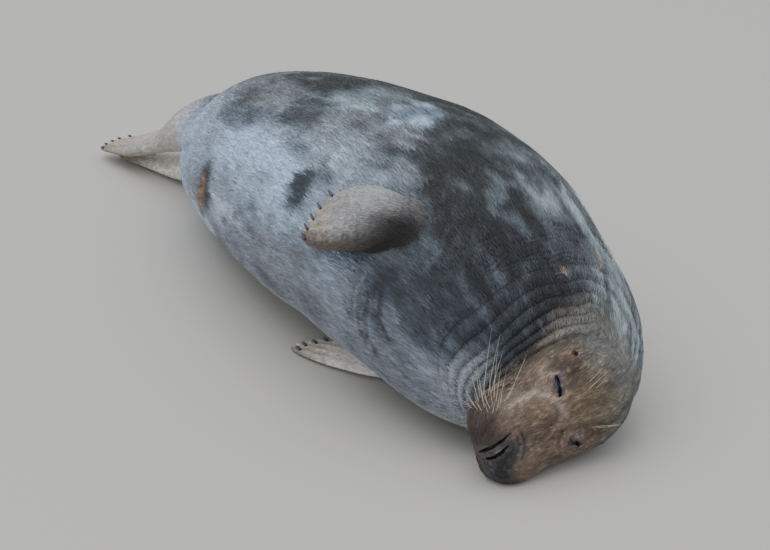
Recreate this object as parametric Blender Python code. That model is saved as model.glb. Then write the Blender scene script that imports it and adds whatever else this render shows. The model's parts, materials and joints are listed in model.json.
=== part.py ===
"""A grey seal asleep on its left side, at life size, as a still museum model.

Frame, in metres: +X runs from the tail to the neck, +Y is the back, -Y the
belly, and +Z is up.  The right side of the animal is on top.  The neck bends
towards the belly, so the head points along -Y and rests on its left cheek.
The body is lofted whole along its spine and then parted with thin cuts.
"""
from collections import namedtuple
import math

import bmesh
import bpy
from mathutils import Vector

# ------------------------------------------------------------- clearances
GAP = 0.0003                    # between neighbouring pieces
TRUNK_SIDES = 32                # facets round the trunk
HEAD_SIDES = 28                 # facets round the head
RINGS_PER_SPAN = 3              # rings between two stations of the trunk

# ------------------------------------------------------------------ trunk
# Stations along the spine.  x, y and z place the spine.  depth is the half
# thickness from back to belly, and height is half the width of the animal,
# which stands upright here because the seal lies on its side.  turn is how
# far, in degrees, the section swings with the neck towards the belly.
TrunkStation = namedtuple("TrunkStation", "name x y z depth height turn")
TRUNK = (
    TrunkStation("rump", -0.790, 0.142, 0.098, 0.074, 0.070, 0),
    TrunkStation("hips", -0.710, 0.132, 0.124, 0.132, 0.122, 0),
    TrunkStation("loin", -0.560, 0.115, 0.171, 0.190, 0.171, 0),
    TrunkStation("belly", -0.270, 0.108, 0.210, 0.249, 0.217, 0),
    TrunkStation("chest", -0.040, 0.122, 0.222, 0.274, 0.230, 0),
    TrunkStation("shoulder", 0.160, 0.120, 0.214, 0.272, 0.224, 0),
    TrunkStation("neck_root", 0.330, 0.111, 0.188, 0.241, 0.202, 0),
    TrunkStation("neck", 0.438, 0.116, 0.156, 0.210, 0.154, 4),
    TrunkStation("collar", 0.500, 0.112, 0.124, 0.163, 0.108, 14),
    TrunkStation("nape", 0.522, 0.112, 0.108, 0.118, 0.084, 30),
    TrunkStation("poll", 0.527, 0.112, 0.100, 0.083, 0.066, 48),
)
RUMP_BULGE = 0.022              # how far the rump rounds out past its station
# Each piece of the trunk runs between two stations.
TRUNK_PIECES = (
    ("hips", "rump", "loin"),
    ("abdomen", "loin", "belly"),
    ("chest", "belly", "shoulder"),
    ("shoulders", "shoulder", "neck_root"),
    ("neck", "neck_root", "poll"),
)

# ------------------------------------------------------------------- head
# The head has its own line, from the nose tip back to the poll.  along is
# the distance behind the nose tip, top the height of the forehead side,
# bottom the depth of the chin side, half the half width, and square how
# boxy the section is (2 is an ellipse).
HEAD_TIP = Vector((0.546, -0.075, 0.069))
HEAD_FORWARD = Vector((0.12, -0.96, -0.22)).normalized()
HEAD_TILT = Vector((-0.09, -0.26, 0.96))    # roughly towards its right side
HeadStation = namedtuple("HeadStation", "name along top bottom half square")
HEAD = (
    HeadStation("nose_front", 0.004, 0.034, 0.020, 0.046, 2.8),
    HeadStation("nostrils", 0.018, 0.048, 0.040, 0.066, 2.9),
    HeadStation("whisker_pads", 0.046, 0.058, 0.054, 0.078, 3.0),
    HeadStation("muzzle", 0.080, 0.062, 0.060, 0.081, 2.8),
    HeadStation("cheeks", 0.120, 0.065, 0.068, 0.085, 2.5),
    HeadStation("eyes", 0.160, 0.069, 0.076, 0.093, 2.3),
    HeadStation("brow", 0.200, 0.079, 0.084, 0.100, 2.2),
    HeadStation("ears", 0.240, 0.085, 0.088, 0.102, 2.1),
    HeadStation("poll", 0.290, 0.074, 0.078, 0.090, 2.0),
)
HEAD_SAG = 0.013                # how far the left cheek spreads downwards
HEAD_RING_STEP = 0.016
NOSE_TIP_BULGE = 0.004
POLL_BULGE = 0.034
NOSE_PAD_END = 0.018            # the bare nose ends here, behind the tip
MOUTH_CORNER = 0.112            # the mouth opens this far behind the tip
MOUTH_DROP = 0.016              # the lips meet this far below the head's line
NOSE_TIP_LIFT = 0.006           # the foremost point is this far above that line

EYE_RADIUS = 0.0195
EYE_ALONG, EYE_OUT, EYE_PROUD = 0.156, 0.057, 0.0035
EAR_ALONG, EAR_OUT = 0.217, 0.086
EAR_SIZE = Vector((0.0095, 0.0065, 0.0050))

# --------------------------------------------------------------- flippers
# A flipper is a flat blade with five digits.  Stations run down its middle
# from inside the body to the digits' ends.  edge_way points across the blade
# to the first digit.  slant is the share by which the last digit is shorter.
BladeStation = namedtuple("BladeStation", "name x y z width thickness")
Flipper = namedtuple("Flipper", "name edge_way slant stations")
FLIPPERS = (
    Flipper("foreflipper_right", (0.456, -0.537, -0.635), 0.16, (
        BladeStation("arm", 0.280, -0.005, 0.305, 0.090, 0.070),
        BladeStation("wrist", 0.243, -0.042, 0.362, 0.098, 0.052),
        BladeStation("palm", 0.190, -0.090, 0.366, 0.130, 0.034),
        BladeStation("fingers", 0.118, -0.121, 0.343, 0.120, 0.022),
        BladeStation("tips", 0.046, -0.137, 0.314, 0.072, 0.011))),
    Flipper("foreflipper_left", (0.500, -0.860, 0.000), 0.16, (
        BladeStation("arm", 0.220, 0.090, 0.036, 0.090, 0.060),
        BladeStation("wrist", 0.150, 0.048, 0.026, 0.090, 0.044),
        BladeStation("palm", 0.086, 0.010, 0.017, 0.118, 0.032),
        BladeStation("fingers", 0.003, -0.036, 0.011, 0.110, 0.021),
        BladeStation("tips", -0.086, -0.078, 0.006, 0.072, 0.011))),
    Flipper("hindflipper_right", (0.460, -0.860, -0.080), 0.07, (
        BladeStation("thigh", -0.690, 0.135, 0.168, 0.220, 0.160),
        BladeStation("ankle", -0.812, 0.098, 0.142, 0.152, 0.106),
        BladeStation("sole", -0.898, 0.066, 0.092, 0.100, 0.052),
        BladeStation("toes", -0.985, 0.040, 0.050, 0.094, 0.032),
        BladeStation("tips", -1.082, 0.012, 0.022, 0.060, 0.011))),
    Flipper("hindflipper_left", (0.420, -0.890, 0.000), 0.07, (
        BladeStation("thigh", -0.700, 0.125, 0.080, 0.200, 0.120),
        BladeStation("ankle", -0.805, 0.118, 0.056, 0.135, 0.080),
        BladeStation("sole", -0.885, 0.100, 0.028, 0.106, 0.046),
        BladeStation("toes", -0.965, 0.080, 0.015, 0.092, 0.026),
        BladeStation("tips", -1.062, 0.048, 0.006, 0.072, 0.011))),
)
BLADE_STEPS = 11                # facets along a blade
BLADE_LANES = 10                # facets across it, two to a digit
BLADE_RIM = 0.0016              # half thickness left at the blade's edge
BLADE_FULLNESS = 2.4            # 2 is an oval section, more is a squarer one
DIGITS = 5
SCALLOP = 0.0075                # depth of the notches between the digits
CORNER = 0.028                  # how much shorter the blade is at its edges

# start is how many of its own lengths a claw begins before the digit's end,
# height the share of the digit's half thickness it leaves from, and yaw how
# far, in degrees, it points towards the last digit.
Claw = namedtuple("Claw", "length radius start height yaw")
FORE_CLAW = Claw(0.030, 0.0042, 0.45, 0.75, 35)
HIND_CLAW = Claw(0.022, 0.0034, 0.45, 0.75, 20)
CLAW_SIDES = 7
CLAW_RINGS = 4
CLAW_NARROWNESS = 0.75          # a claw's width as a share of its height
CLAW_CURL = 0.28                # radians that a claw curves down

TAIL_ROOT = Vector((-0.770, 0.200, 0.090))
TAIL_WAY = Vector((-0.95, 0.12, -0.28)).normalized()
TAIL_LENGTH = 0.115
TAIL_WIDTH = 0.056
TAIL_THICKNESS = 0.024
TAIL_FULLNESS = 2.5             # 2 is an oval outline, more is a blunter one
TAIL_SIDES = 14

# Linear colours and roughness of the plain finishes.
COAT = ("coat", (0.21, 0.22, 0.23), 0.62)
FLIPPER_SKIN = ("flipper_skin", (0.34, 0.30, 0.26), 0.58)
NOSE_SKIN = ("nose_skin", (0.03, 0.035, 0.045), 0.30)
EYE_SURFACE = ("eye_surface", (0.01, 0.012, 0.018), 0.08)
EAR_SKIN = ("ear_skin", (0.24, 0.16, 0.12), 0.60)
CLAW_HORN = ("claw_horn", (0.05, 0.06, 0.09), 0.35)


# ---------------------------------------------------------------- helpers
def clear_scene():
    for old in list(bpy.data.objects):
        bpy.data.objects.remove(old, do_unlink=True)


def make_material(name, colour, roughness):
    material = bpy.data.materials.new(name)
    material.use_nodes = True
    shader = material.node_tree.nodes["Principled BSDF"]
    shader.inputs["Base Color"].default_value = (*colour, 1.0)
    shader.inputs["Roughness"].default_value = roughness
    shader.inputs["Metallic"].default_value = 0.0
    return material


def smooth_value(knots, values, place):
    """A smooth curve through values at knots (cubic Hermite), read at place."""
    last = len(knots) - 1
    span = 0
    while span < last - 1 and place > knots[span + 1]:
        span += 1

    def slope(i):
        low, high = max(i - 1, 0), min(i + 1, last)
        return (values[high] - values[low]) / (knots[high] - knots[low])

    width = knots[span + 1] - knots[span]
    t = (place - knots[span]) / width
    start, end = values[span], values[span + 1]
    rise_start, rise_end = slope(span) * width, slope(span + 1) * width
    return ((2 * t**3 - 3 * t**2 + 1) * start + (t**3 - 2 * t**2 + t) * rise_start
            + (3 * t**2 - 2 * t**3) * end + (t**3 - t**2) * rise_end)


def signed_power(value, power):
    return math.copysign(abs(value) ** power, value)


def section(centre, dorsal, right, top, bottom, half, sides, square=2.0, sag=0.0):
    """Points round one cross-section, from the back over the right side."""
    points = []
    for i in range(sides):
        angle = 2 * math.pi * i / sides
        across = signed_power(math.cos(angle), 2 / square)
        up = signed_power(math.sin(angle), 2 / square)
        reach = top if across > 0 else bottom
        side = half if up > 0 else half + sag
        points.append(centre + dorsal * (across * reach) + right * (up * side))
    return points


def on_floor(points, upwards):
    """Whatever would sink below the floor is pressed flat against it."""
    return [p + upwards * (max(0.0, -p.z) / upwards.z) for p in points]


def face_outwards(builder):
    bmesh.ops.recalc_face_normals(builder, faces=builder.faces)
    if builder.calc_volume(signed=True) < 0:
        bmesh.ops.reverse_faces(builder, faces=builder.faces)


def new_piece(name, builder):
    face_outwards(builder)
    mesh = bpy.data.meshes.new(name)
    builder.to_mesh(mesh)
    builder.free()
    mesh.shade_smooth()
    mesh.set_sharp_from_angle(angle=math.radians(45))
    piece = bpy.data.objects.new(name, mesh)
    bpy.context.scene.collection.objects.link(piece)
    return piece


def loft(name, rings, start_tip=None, end_tip=None):
    """A closed solid through rings of points, with flat or pointed ends."""
    builder = bmesh.new()
    rows = [[builder.verts.new(p) for p in ring] for ring in rings]
    for near, far in zip(rows, rows[1:]):
        count = len(near)
        for i in range(count):
            j = (i + 1) % count
            builder.faces.new((near[i], near[j], far[j], far[i]))
    for row, tip in ((rows[0], start_tip), (rows[-1], end_tip)):
        if tip is None:
            builder.faces.new(row)
            continue
        pole = builder.verts.new(tip)
        for i in range(len(row)):
            builder.faces.new((row[i], row[(i + 1) % len(row)], pole))
    return new_piece(name, builder)


def subtract(piece, cutter):
    """Cut one closed solid out of another and keep the result."""
    cut = piece.modifiers.new("cut", "BOOLEAN")
    cut.operation = "DIFFERENCE"
    cut.solver = "EXACT"
    cut.object = cutter
    evaluated = piece.evaluated_get(bpy.context.evaluated_depsgraph_get())
    mesh = bpy.data.meshes.new_from_object(evaluated)
    piece.modifiers.clear()
    piece.data = mesh
    mesh.name = piece.name


def slice_away(piece, point, normal):
    """Remove what lies on the side that normal points to, and close the cut."""
    builder = bmesh.new()
    builder.from_mesh(piece.data)
    everything = builder.verts[:] + builder.edges[:] + builder.faces[:]
    cut = bmesh.ops.bisect_plane(builder, geom=everything, plane_co=point,
                                 plane_no=normal, clear_outer=True, dist=1e-6)
    rim = [e for e in cut["geom_cut"] if isinstance(e, bmesh.types.BMEdge)]
    bmesh.ops.edgeloop_fill(builder, edges=rim)
    face_outwards(builder)
    builder.to_mesh(piece.data)
    builder.free()


def discard(piece):
    bpy.data.objects.remove(piece, do_unlink=True)


# ------------------------------------------------------------------ trunk
def trunk_knots():
    knots = [0.0]
    for near, far in zip(TRUNK, TRUNK[1:]):
        step = Vector((far.x - near.x, far.y - near.y, far.z - near.z)).length
        knots.append(knots[-1] + step)
    return knots


def trunk_value(field, place):
    return smooth_value(trunk_knots(), [getattr(s, field) for s in TRUNK], place)


def trunk_place(name):
    return trunk_knots()[[s.name for s in TRUNK].index(name)]


def trunk_ring(place, shift=0.0, grow=0.0):
    """One section of the trunk, moved along the spine by shift."""
    turn = math.radians(trunk_value("turn", place))
    forward = Vector((math.cos(turn), -math.sin(turn), 0))
    right = Vector((0, 0, 1))
    dorsal = right.cross(forward)
    centre = Vector((trunk_value("x", place), trunk_value("y", place),
                     trunk_value("z", place)))
    depth = trunk_value("depth", place) + grow
    height = trunk_value("height", place) + grow
    return on_floor(section(centre + forward * shift, dorsal, right, depth, depth,
                            height, TRUNK_SIDES), right)


def trunk_places(start, end):
    """Where the rings lie between two stations, ends included."""
    knots = trunk_knots()
    first, last = trunk_place(start), trunk_place(end)
    places = []
    for near, far in zip(knots, knots[1:]):
        for k in range(RINGS_PER_SPAN):
            places.append(near + (far - near) * k / RINGS_PER_SPAN)
    places.append(knots[-1])
    return [p for p in places if first - 1e-9 <= p <= last + 1e-9]


def rump_tip():
    rump = TRUNK[0]
    return Vector((rump.x - RUMP_BULGE, rump.y, rump.z))


def trunk_piece(name, start, end, coat):
    places = trunk_places(start, end)
    rings = [trunk_ring(p) for p in places]
    at_rump = start == TRUNK[0].name
    at_poll = end == TRUNK[-1].name
    if not at_rump:
        rings[0] = trunk_ring(places[0], shift=GAP / 2)
    if not at_poll:
        rings[-1] = trunk_ring(places[-1], shift=-GAP / 2)
    piece = loft(name, rings, start_tip=rump_tip() if at_rump else None)
    piece.data.materials.append(coat)
    return piece


def whole_trunk(grow):
    """The trunk in one piece, a little larger, to cut its neighbours with."""
    places = trunk_places(TRUNK[0].name, TRUNK[-1].name)
    rings = [trunk_ring(p, grow=grow) for p in places]
    return loft("trunk_cutter", rings, start_tip=rump_tip() - Vector((grow, 0, 0)))


# ------------------------------------------------------------------- head
def head_axes():
    right = (HEAD_TILT - HEAD_FORWARD * HEAD_TILT.dot(HEAD_FORWARD)).normalized()
    return right.cross(HEAD_FORWARD), right


def head_value(field, along):
    return smooth_value([s.along for s in HEAD], [getattr(s, field) for s in HEAD], along)


def head_point(along, up, out):
    """A point in the head: behind the nose, above the line, out to the right."""
    dorsal, right = head_axes()
    return HEAD_TIP - HEAD_FORWARD * along + dorsal * up + right * out


def head_top_at(along, out):
    """Height of the head's upper surface at a distance out from the middle."""
    square = head_value("square", along)
    half = head_value("half", along) + (0 if out > 0 else HEAD_SAG)
    share = abs(out) / half
    return head_value("top", along) * (1 - share ** square) ** (1 / square)


def head_ring(along, grow=0.0):
    dorsal, right = head_axes()
    ring = section(HEAD_TIP - HEAD_FORWARD * along, dorsal, right,
                   head_value("top", along) + grow, head_value("bottom", along) + grow,
                   head_value("half", along) + grow, HEAD_SIDES,
                   head_value("square", along), HEAD_SAG)
    return on_floor(ring, right)


def head_loft(name, start, end, grow=0.0, start_tip=None, end_tip=None):
    steps = max(2, round((end - start) / HEAD_RING_STEP))
    places = [start + (end - start) * i / steps for i in range(steps + 1)]
    return loft(name, [head_ring(a, grow) for a in places], start_tip, end_tip)


def whole_head(grow):
    first, last = HEAD[0].along, HEAD[-1].along
    return head_loft("head_cutter", first, last, grow,
                     head_point(first - NOSE_TIP_BULGE - grow, NOSE_TIP_LIFT, 0),
                     head_point(last + POLL_BULGE + grow, 0, 0))


def make_head_pieces(coat, nose_skin):
    first, last = HEAD[0].along, HEAD[-1].along
    nose = head_loft("nose", first, NOSE_PAD_END - GAP / 2,
                     start_tip=head_point(first - NOSE_TIP_BULGE, NOSE_TIP_LIFT, 0))
    head = head_loft("head", MOUTH_CORNER + GAP / 2, last,
                     end_tip=head_point(last + POLL_BULGE, 0, 0))
    dorsal, _ = head_axes()
    lips = head_point(0, -MOUTH_DROP, 0)
    muzzle = head_loft("muzzle", NOSE_PAD_END + GAP / 2, MOUTH_CORNER - GAP / 2)
    slice_away(muzzle, lips + dorsal * (GAP / 2), -dorsal)
    jaw = head_loft("lower_jaw", NOSE_PAD_END + GAP / 2, MOUTH_CORNER - GAP / 2)
    slice_away(jaw, lips - dorsal * (GAP / 2), dorsal)
    for piece, material in ((nose, nose_skin), (head, coat), (muzzle, coat), (jaw, coat)):
        piece.data.materials.append(material)
    return head


def ball(name, centre, radii, axes):
    """A rounded button: radii along, across and through the head's surface."""
    builder = bmesh.new()
    bmesh.ops.create_uvsphere(builder, u_segments=12, v_segments=8, radius=1.0)
    for vert in builder.verts:
        x, y, z = vert.co
        vert.co = centre + axes[0] * (x * radii[0]) + axes[1] * (y * radii[1]) \
            + axes[2] * (z * radii[2])
    return new_piece(name, builder)


def surface_normal(along, out):
    """The outward way off the head's upper surface."""
    step = 0.004

    def surface(a, o):
        return head_point(a, head_top_at(a, o), o)

    outwards = surface(along, out + step) - surface(along, out - step)
    backwards = surface(along + step, out) - surface(along - step, out)
    normal = outwards.cross(backwards).normalized()
    return normal if normal.dot(head_axes()[0]) > 0 else -normal


def set_into_head(head, name, along, out, radii, proud, material):
    """An eye or ear set into a pocket of the head, standing proud of it."""
    normal = surface_normal(along, out)
    across = normal.cross(HEAD_FORWARD).normalized()
    axes = (across.cross(normal), across, normal)
    surface = head_point(along, head_top_at(along, out), out)
    centre = surface + normal * (proud - radii[2])
    piece = ball(name, centre, radii, axes)
    pocket = ball("pocket", centre, [r + GAP for r in radii], axes)
    subtract(head, pocket)
    discard(pocket)
    piece.data.materials.append(material)


# --------------------------------------------------------------- flippers
def blade_knots(flipper):
    """How far along the blade each of its stations lies, in metres."""
    knots = [0.0]
    for near, far in zip(flipper.stations, flipper.stations[1:]):
        step = Vector((far.x - near.x, far.y - near.y, far.z - near.z)).length
        knots.append(knots[-1] + step)
    return knots


def blade_value(flipper, field, distance):
    values = [getattr(s, field) for s in flipper.stations]
    return smooth_value(blade_knots(flipper), values, distance)


def blade_middle(flipper, distance):
    return Vector(blade_value(flipper, axis, distance) for axis in "xyz")


def blade_axes(flipper, distance):
    """The ways along the blade, across it to the first digit, and outward."""
    step = 0.002
    way = (blade_middle(flipper, distance + step)
           - blade_middle(flipper, distance - step)).normalized()
    edge = Vector(flipper.edge_way)
    edge = (edge - way * edge.dot(way)).normalized()
    normal = way.cross(edge)
    return way, edge, normal if normal.z > 0 else -normal


def blade_reach(flipper, v):
    """How far the blade reaches in the lane v, from 1 (first digit) to -1."""
    lane = (1 - v) / 2 * DIGITS
    notch = 0.5 + 0.5 * math.cos(2 * math.pi * lane)
    return blade_knots(flipper)[-1] * (1 - flipper.slant * (1 - v) / 2) \
        - SCALLOP * notch - CORNER * abs(v) ** 5


def blade_point(flipper, distance, v, lift, grow=0.0):
    """A point along the blade, across it in the lane v, and off its middle."""
    _, edge, normal = blade_axes(flipper, distance)
    across = v * (blade_value(flipper, "width", distance) / 2 + grow)
    return blade_middle(flipper, distance) + edge * across + normal * lift


def blade_half_thickness(flipper, distance, v):
    full = blade_value(flipper, "thickness", distance) / 2
    return max(BLADE_RIM, full * math.sqrt(max(0.0, 1 - abs(v) ** BLADE_FULLNESS)))


def make_blade(name, flipper, grow=0.0):
    """A flipper as a grid over its top, another under it, and a rim."""
    builder = bmesh.new()
    sheets = []
    for side in (1, -1):
        sheet = []
        for i in range(BLADE_STEPS + 1):
            row = []
            for j in range(BLADE_LANES + 1):
                v = 1 - 2 * j / BLADE_LANES
                distance = i / BLADE_STEPS * blade_reach(flipper, v)
                lift = side * (blade_half_thickness(flipper, distance, v) + grow)
                point = blade_point(flipper, distance, v, lift, grow)
                point.z = max(point.z, 0.0 if side < 0 else 2 * BLADE_RIM)
                row.append(builder.verts.new(point))
            sheet.append(row)
        sheets.append(sheet)
    for sheet in sheets:
        for near, far in zip(sheet, sheet[1:]):
            for j in range(BLADE_LANES):
                builder.faces.new((near[j], near[j + 1], far[j + 1], far[j]))
    top, under = (blade_rim(sheet) for sheet in sheets)
    for i in range(len(top)):
        j = (i + 1) % len(top)
        builder.faces.new((top[i], top[j], under[j], under[i]))
    return new_piece(name, builder)


def blade_rim(sheet):
    """The vertices round the edge of a grid, in order."""
    return (sheet[0][:-1] + [row[-1] for row in sheet[:-1]]
            + sheet[-1][:0:-1] + [row[0] for row in sheet[:0:-1]])


def make_claw(name, flipper, digit, grow=0.0):
    """A curved claw that grows out of the top of one digit's end."""
    kind = FORE_CLAW if flipper.name.startswith("fore") else HIND_CLAW
    v = 1 - 2 * (digit + 0.5) / DIGITS
    start = blade_reach(flipper, v) - kind.length * kind.start
    lift = blade_half_thickness(flipper, start, v) * kind.height
    origin = blade_point(flipper, start, v, lift)
    along, edge, outward = blade_axes(flipper, start)
    yaw = math.radians(kind.yaw)
    forward = along * math.cos(yaw) - edge * math.sin(yaw)
    sideways = forward.cross(outward)
    rings = []
    for i in range(CLAW_RINGS):
        t = i / CLAW_RINGS
        angle = CLAW_CURL * t
        centre = origin + (forward - outward * (angle / 2)) * (kind.length * t)
        up = outward * math.cos(angle) + forward * math.sin(angle)
        size = kind.radius * math.sqrt(1 - t * t) + grow
        ring = []
        for k in range(CLAW_SIDES):
            around = 2 * math.pi * k / CLAW_SIDES
            ring.append(centre + sideways * (size * CLAW_NARROWNESS * math.cos(around))
                        + up * (size * math.sin(around)))
        rings.append(ring)
    rings[0] = [p - forward * grow for p in rings[0]]
    tip = origin + forward * (kind.length + grow) - outward * (kind.length * CLAW_CURL / 2)
    return loft(name, rings, end_tip=tip)


def make_flipper(flipper, cutters, flipper_skin, claw_horn):
    blade = make_blade(flipper.name, flipper)
    for cutter in cutters:
        subtract(blade, cutter)
    blade.data.materials.clear()
    blade.data.materials.append(flipper_skin)
    limb, side = flipper.name.split("flipper_")
    for digit in range(DIGITS):
        cutter = make_claw("claw_cutter", flipper, digit, grow=GAP)
        subtract(blade, cutter)
        discard(cutter)
        claw = make_claw(f"{limb}claw_{side}_{digit + 1}", flipper, digit)
        claw.data.materials.append(claw_horn)


# ------------------------------------------------------------------- tail
def make_tail(cutters, coat):
    """The short flat tail between the hind flippers."""
    edge = Vector((0, 0, 1)).cross(TAIL_WAY).normalized()
    normal = TAIL_WAY.cross(edge)
    rings = []
    steps = 6
    for i in range(steps):
        t = i / steps
        width = TAIL_WIDTH / 2 * math.sqrt(1 - t ** TAIL_FULLNESS)
        thick = TAIL_THICKNESS / 2 * math.sqrt(1 - t ** TAIL_FULLNESS)
        rings.append(section(TAIL_ROOT + TAIL_WAY * (TAIL_LENGTH * t), edge, normal,
                             width, width, thick, TAIL_SIDES))
    tail = loft("tail", rings, end_tip=TAIL_ROOT + TAIL_WAY * TAIL_LENGTH)
    for cutter in cutters:
        subtract(tail, cutter)
    tail.data.materials.clear()
    tail.data.materials.append(coat)


# --------------------------------------------------------------- assembly
def centre_on_floor():
    """Shift everything so the origin is under the middle of the animal."""
    corners = [v.co for piece in bpy.data.objects for v in piece.data.vertices]
    low = Vector(min(c[i] for c in corners) for i in range(3))
    high = Vector(max(c[i] for c in corners) for i in range(3))
    middle = Vector(((low.x + high.x) / 2, (low.y + high.y) / 2, low.z))
    stand = bpy.data.objects.new("grey_seal", None)
    bpy.context.scene.collection.objects.link(stand)
    stand.location = -middle
    for piece in bpy.data.objects:
        if piece is not stand:
            piece.parent = stand


def main():
    clear_scene()
    coat = make_material(*COAT)
    flipper_skin = make_material(*FLIPPER_SKIN)
    claw_horn = make_material(*CLAW_HORN)
    eye_surface = make_material(*EYE_SURFACE)
    ear_skin = make_material(*EAR_SKIN)

    trunk = {name: trunk_piece(name, start, end, coat)
             for name, start, end in TRUNK_PIECES}
    head = make_head_pieces(coat, make_material(*NOSE_SKIN))
    head_cutter = whole_head(GAP)
    subtract(trunk["neck"], head_cutter)
    discard(head_cutter)
    eye = (EYE_RADIUS, EYE_RADIUS, EYE_RADIUS)
    for side, sign in (("right", 1), ("left", -1)):
        set_into_head(head, f"eye_{side}", EYE_ALONG, sign * EYE_OUT, eye, EYE_PROUD,
                      eye_surface)
        set_into_head(head, f"ear_{side}", EAR_ALONG, sign * EAR_OUT, EAR_SIZE,
                      0.002, ear_skin)

    body_cutter = whole_trunk(GAP)
    upper_leg = next(f for f in FLIPPERS if f.name == "hindflipper_right")
    lower_leg = next(f for f in FLIPPERS if f.name == "hindflipper_left")
    leg_cutters = [make_blade("leg_cutter", leg, GAP) for leg in (upper_leg, lower_leg)]
    for flipper in FLIPPERS:
        # The lower leg is pressed out of the way of the upper one.
        cutters = [body_cutter] + (leg_cutters[:1] if flipper is lower_leg else [])
        make_flipper(flipper, cutters, flipper_skin, claw_horn)
    make_tail([body_cutter] + leg_cutters, coat)
    for cutter in [body_cutter] + leg_cutters:
        discard(cutter)
    centre_on_floor()


main()
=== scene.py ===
# %% [markdown]
# # A grey seal asleep on its left side
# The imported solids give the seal's size and outline, but they are faceted and
# parted with thin cuts. A living seal has one skin, so this script makes a
# fine skin just inside the solids, carves folds and lids into it, and lays a
# coat of small tufts over it. The solids stay hidden as the frame.

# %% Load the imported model
import json
import math

import bmesh
import bpy
import numpy as np
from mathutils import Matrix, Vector
from mathutils.kdtree import KDTree

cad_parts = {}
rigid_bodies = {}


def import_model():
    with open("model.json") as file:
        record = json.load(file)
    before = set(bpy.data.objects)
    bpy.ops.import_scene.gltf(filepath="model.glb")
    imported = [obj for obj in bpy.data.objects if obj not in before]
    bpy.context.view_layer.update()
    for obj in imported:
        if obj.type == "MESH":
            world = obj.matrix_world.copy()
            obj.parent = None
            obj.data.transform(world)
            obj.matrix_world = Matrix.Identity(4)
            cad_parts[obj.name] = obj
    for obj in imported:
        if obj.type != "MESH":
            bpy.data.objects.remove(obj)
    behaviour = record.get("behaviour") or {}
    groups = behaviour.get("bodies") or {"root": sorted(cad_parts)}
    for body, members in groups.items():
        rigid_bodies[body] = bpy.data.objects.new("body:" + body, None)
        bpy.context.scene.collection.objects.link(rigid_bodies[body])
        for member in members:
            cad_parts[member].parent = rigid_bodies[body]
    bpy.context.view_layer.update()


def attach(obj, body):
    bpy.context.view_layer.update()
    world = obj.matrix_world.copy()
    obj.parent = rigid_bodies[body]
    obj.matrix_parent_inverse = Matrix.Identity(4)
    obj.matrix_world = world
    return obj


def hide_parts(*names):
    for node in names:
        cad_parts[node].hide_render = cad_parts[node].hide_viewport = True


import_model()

# %% [markdown]
# ## Camera
# A long lens from a few metres away keeps a lying animal's proportions true.
# All the body's lines are written from a point under the ribs, and ORIGIN
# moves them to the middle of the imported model's floor.

# %% Set the camera
ORIGIN = Vector((0.23962, -0.11967, 0.0))
AZIMUTH, ELEVATION = math.radians(60), math.radians(25)
CAMERA_DISTANCE = 6.5
towards_camera = Vector((math.sin(AZIMUTH) * math.cos(ELEVATION),
                         -math.cos(AZIMUTH) * math.cos(ELEVATION), math.sin(ELEVATION)))
aim = Vector((0.1, 0.0, 0.2)) + ORIGIN
lens = bpy.data.cameras.new("camera")
lens.sensor_width = 36.0
lens.lens = 168.27
lens.clip_end = 60.0
camera = bpy.data.objects.new("camera", lens)
camera.location = aim + towards_camera * CAMERA_DISTANCE
camera.rotation_euler = towards_camera.to_track_quat("Z", "Y").to_euler()
bpy.context.scene.collection.objects.link(camera)
bpy.context.scene.camera = camera
print("camera", [round(v, 2) for v in camera.location])

# %% [markdown]
# ## Body lines
# The seal is drawn the way a boat is: a line along the spine with stations,
# each a rounded section with its own depth and height. The head has a line of
# its own from the nose back to the poll, and each flipper one down its middle.
# A cubic Hermite curve reads smooth sizes between stations. A subdivision cage
# could do the same, but stations keep every size in plain metres.

# %% Write the stations of trunk and head
TRUNK = np.array((
    # x, y, z of the spine, half depth, half height, turn in degrees
    (-0.790, 0.142, 0.098, 0.074, 0.070, 0), (-0.710, 0.132, 0.124, 0.132, 0.122, 0),
    (-0.560, 0.115, 0.171, 0.190, 0.171, 0), (-0.270, 0.108, 0.210, 0.249, 0.217, 0),
    (-0.040, 0.122, 0.222, 0.274, 0.230, 0), (0.160, 0.120, 0.214, 0.272, 0.224, 0),
    (0.330, 0.111, 0.188, 0.241, 0.202, 0), (0.438, 0.116, 0.156, 0.210, 0.154, 4),
    (0.500, 0.112, 0.124, 0.163, 0.108, 14), (0.522, 0.112, 0.108, 0.118, 0.084, 30),
    (0.527, 0.112, 0.100, 0.083, 0.066, 48)))
HEAD = np.array((
    # along, top, bottom, half width, squareness
    (0.004, 0.034, 0.020, 0.046, 2.8), (0.018, 0.048, 0.040, 0.066, 2.9),
    (0.046, 0.058, 0.054, 0.078, 3.0), (0.080, 0.062, 0.060, 0.081, 2.8),
    (0.120, 0.065, 0.068, 0.085, 2.5), (0.160, 0.069, 0.076, 0.093, 2.3),
    (0.200, 0.079, 0.084, 0.100, 2.2), (0.240, 0.085, 0.088, 0.102, 2.1),
    (0.290, 0.074, 0.078, 0.090, 2.0)))
HEAD_TIP = np.array((0.546, -0.075, 0.069))
HEAD_FORWARD = np.array((0.12, -0.96, -0.22))
HEAD_FORWARD /= np.linalg.norm(HEAD_FORWARD)
HEAD_RIGHT = np.array((-0.09, -0.26, 0.96))
HEAD_RIGHT -= HEAD_FORWARD * (HEAD_RIGHT @ HEAD_FORWARD)
HEAD_RIGHT /= np.linalg.norm(HEAD_RIGHT)
HEAD_UP = np.cross(HEAD_RIGHT, HEAD_FORWARD)
HEAD_SAG = 0.013                          # the cheek on the floor is this much fuller
HEAD_START, HEAD_END = HEAD[0, 0], HEAD[-1, 0]
UPWARDS = np.array((0.0, 0.0, 1.0))


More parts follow.
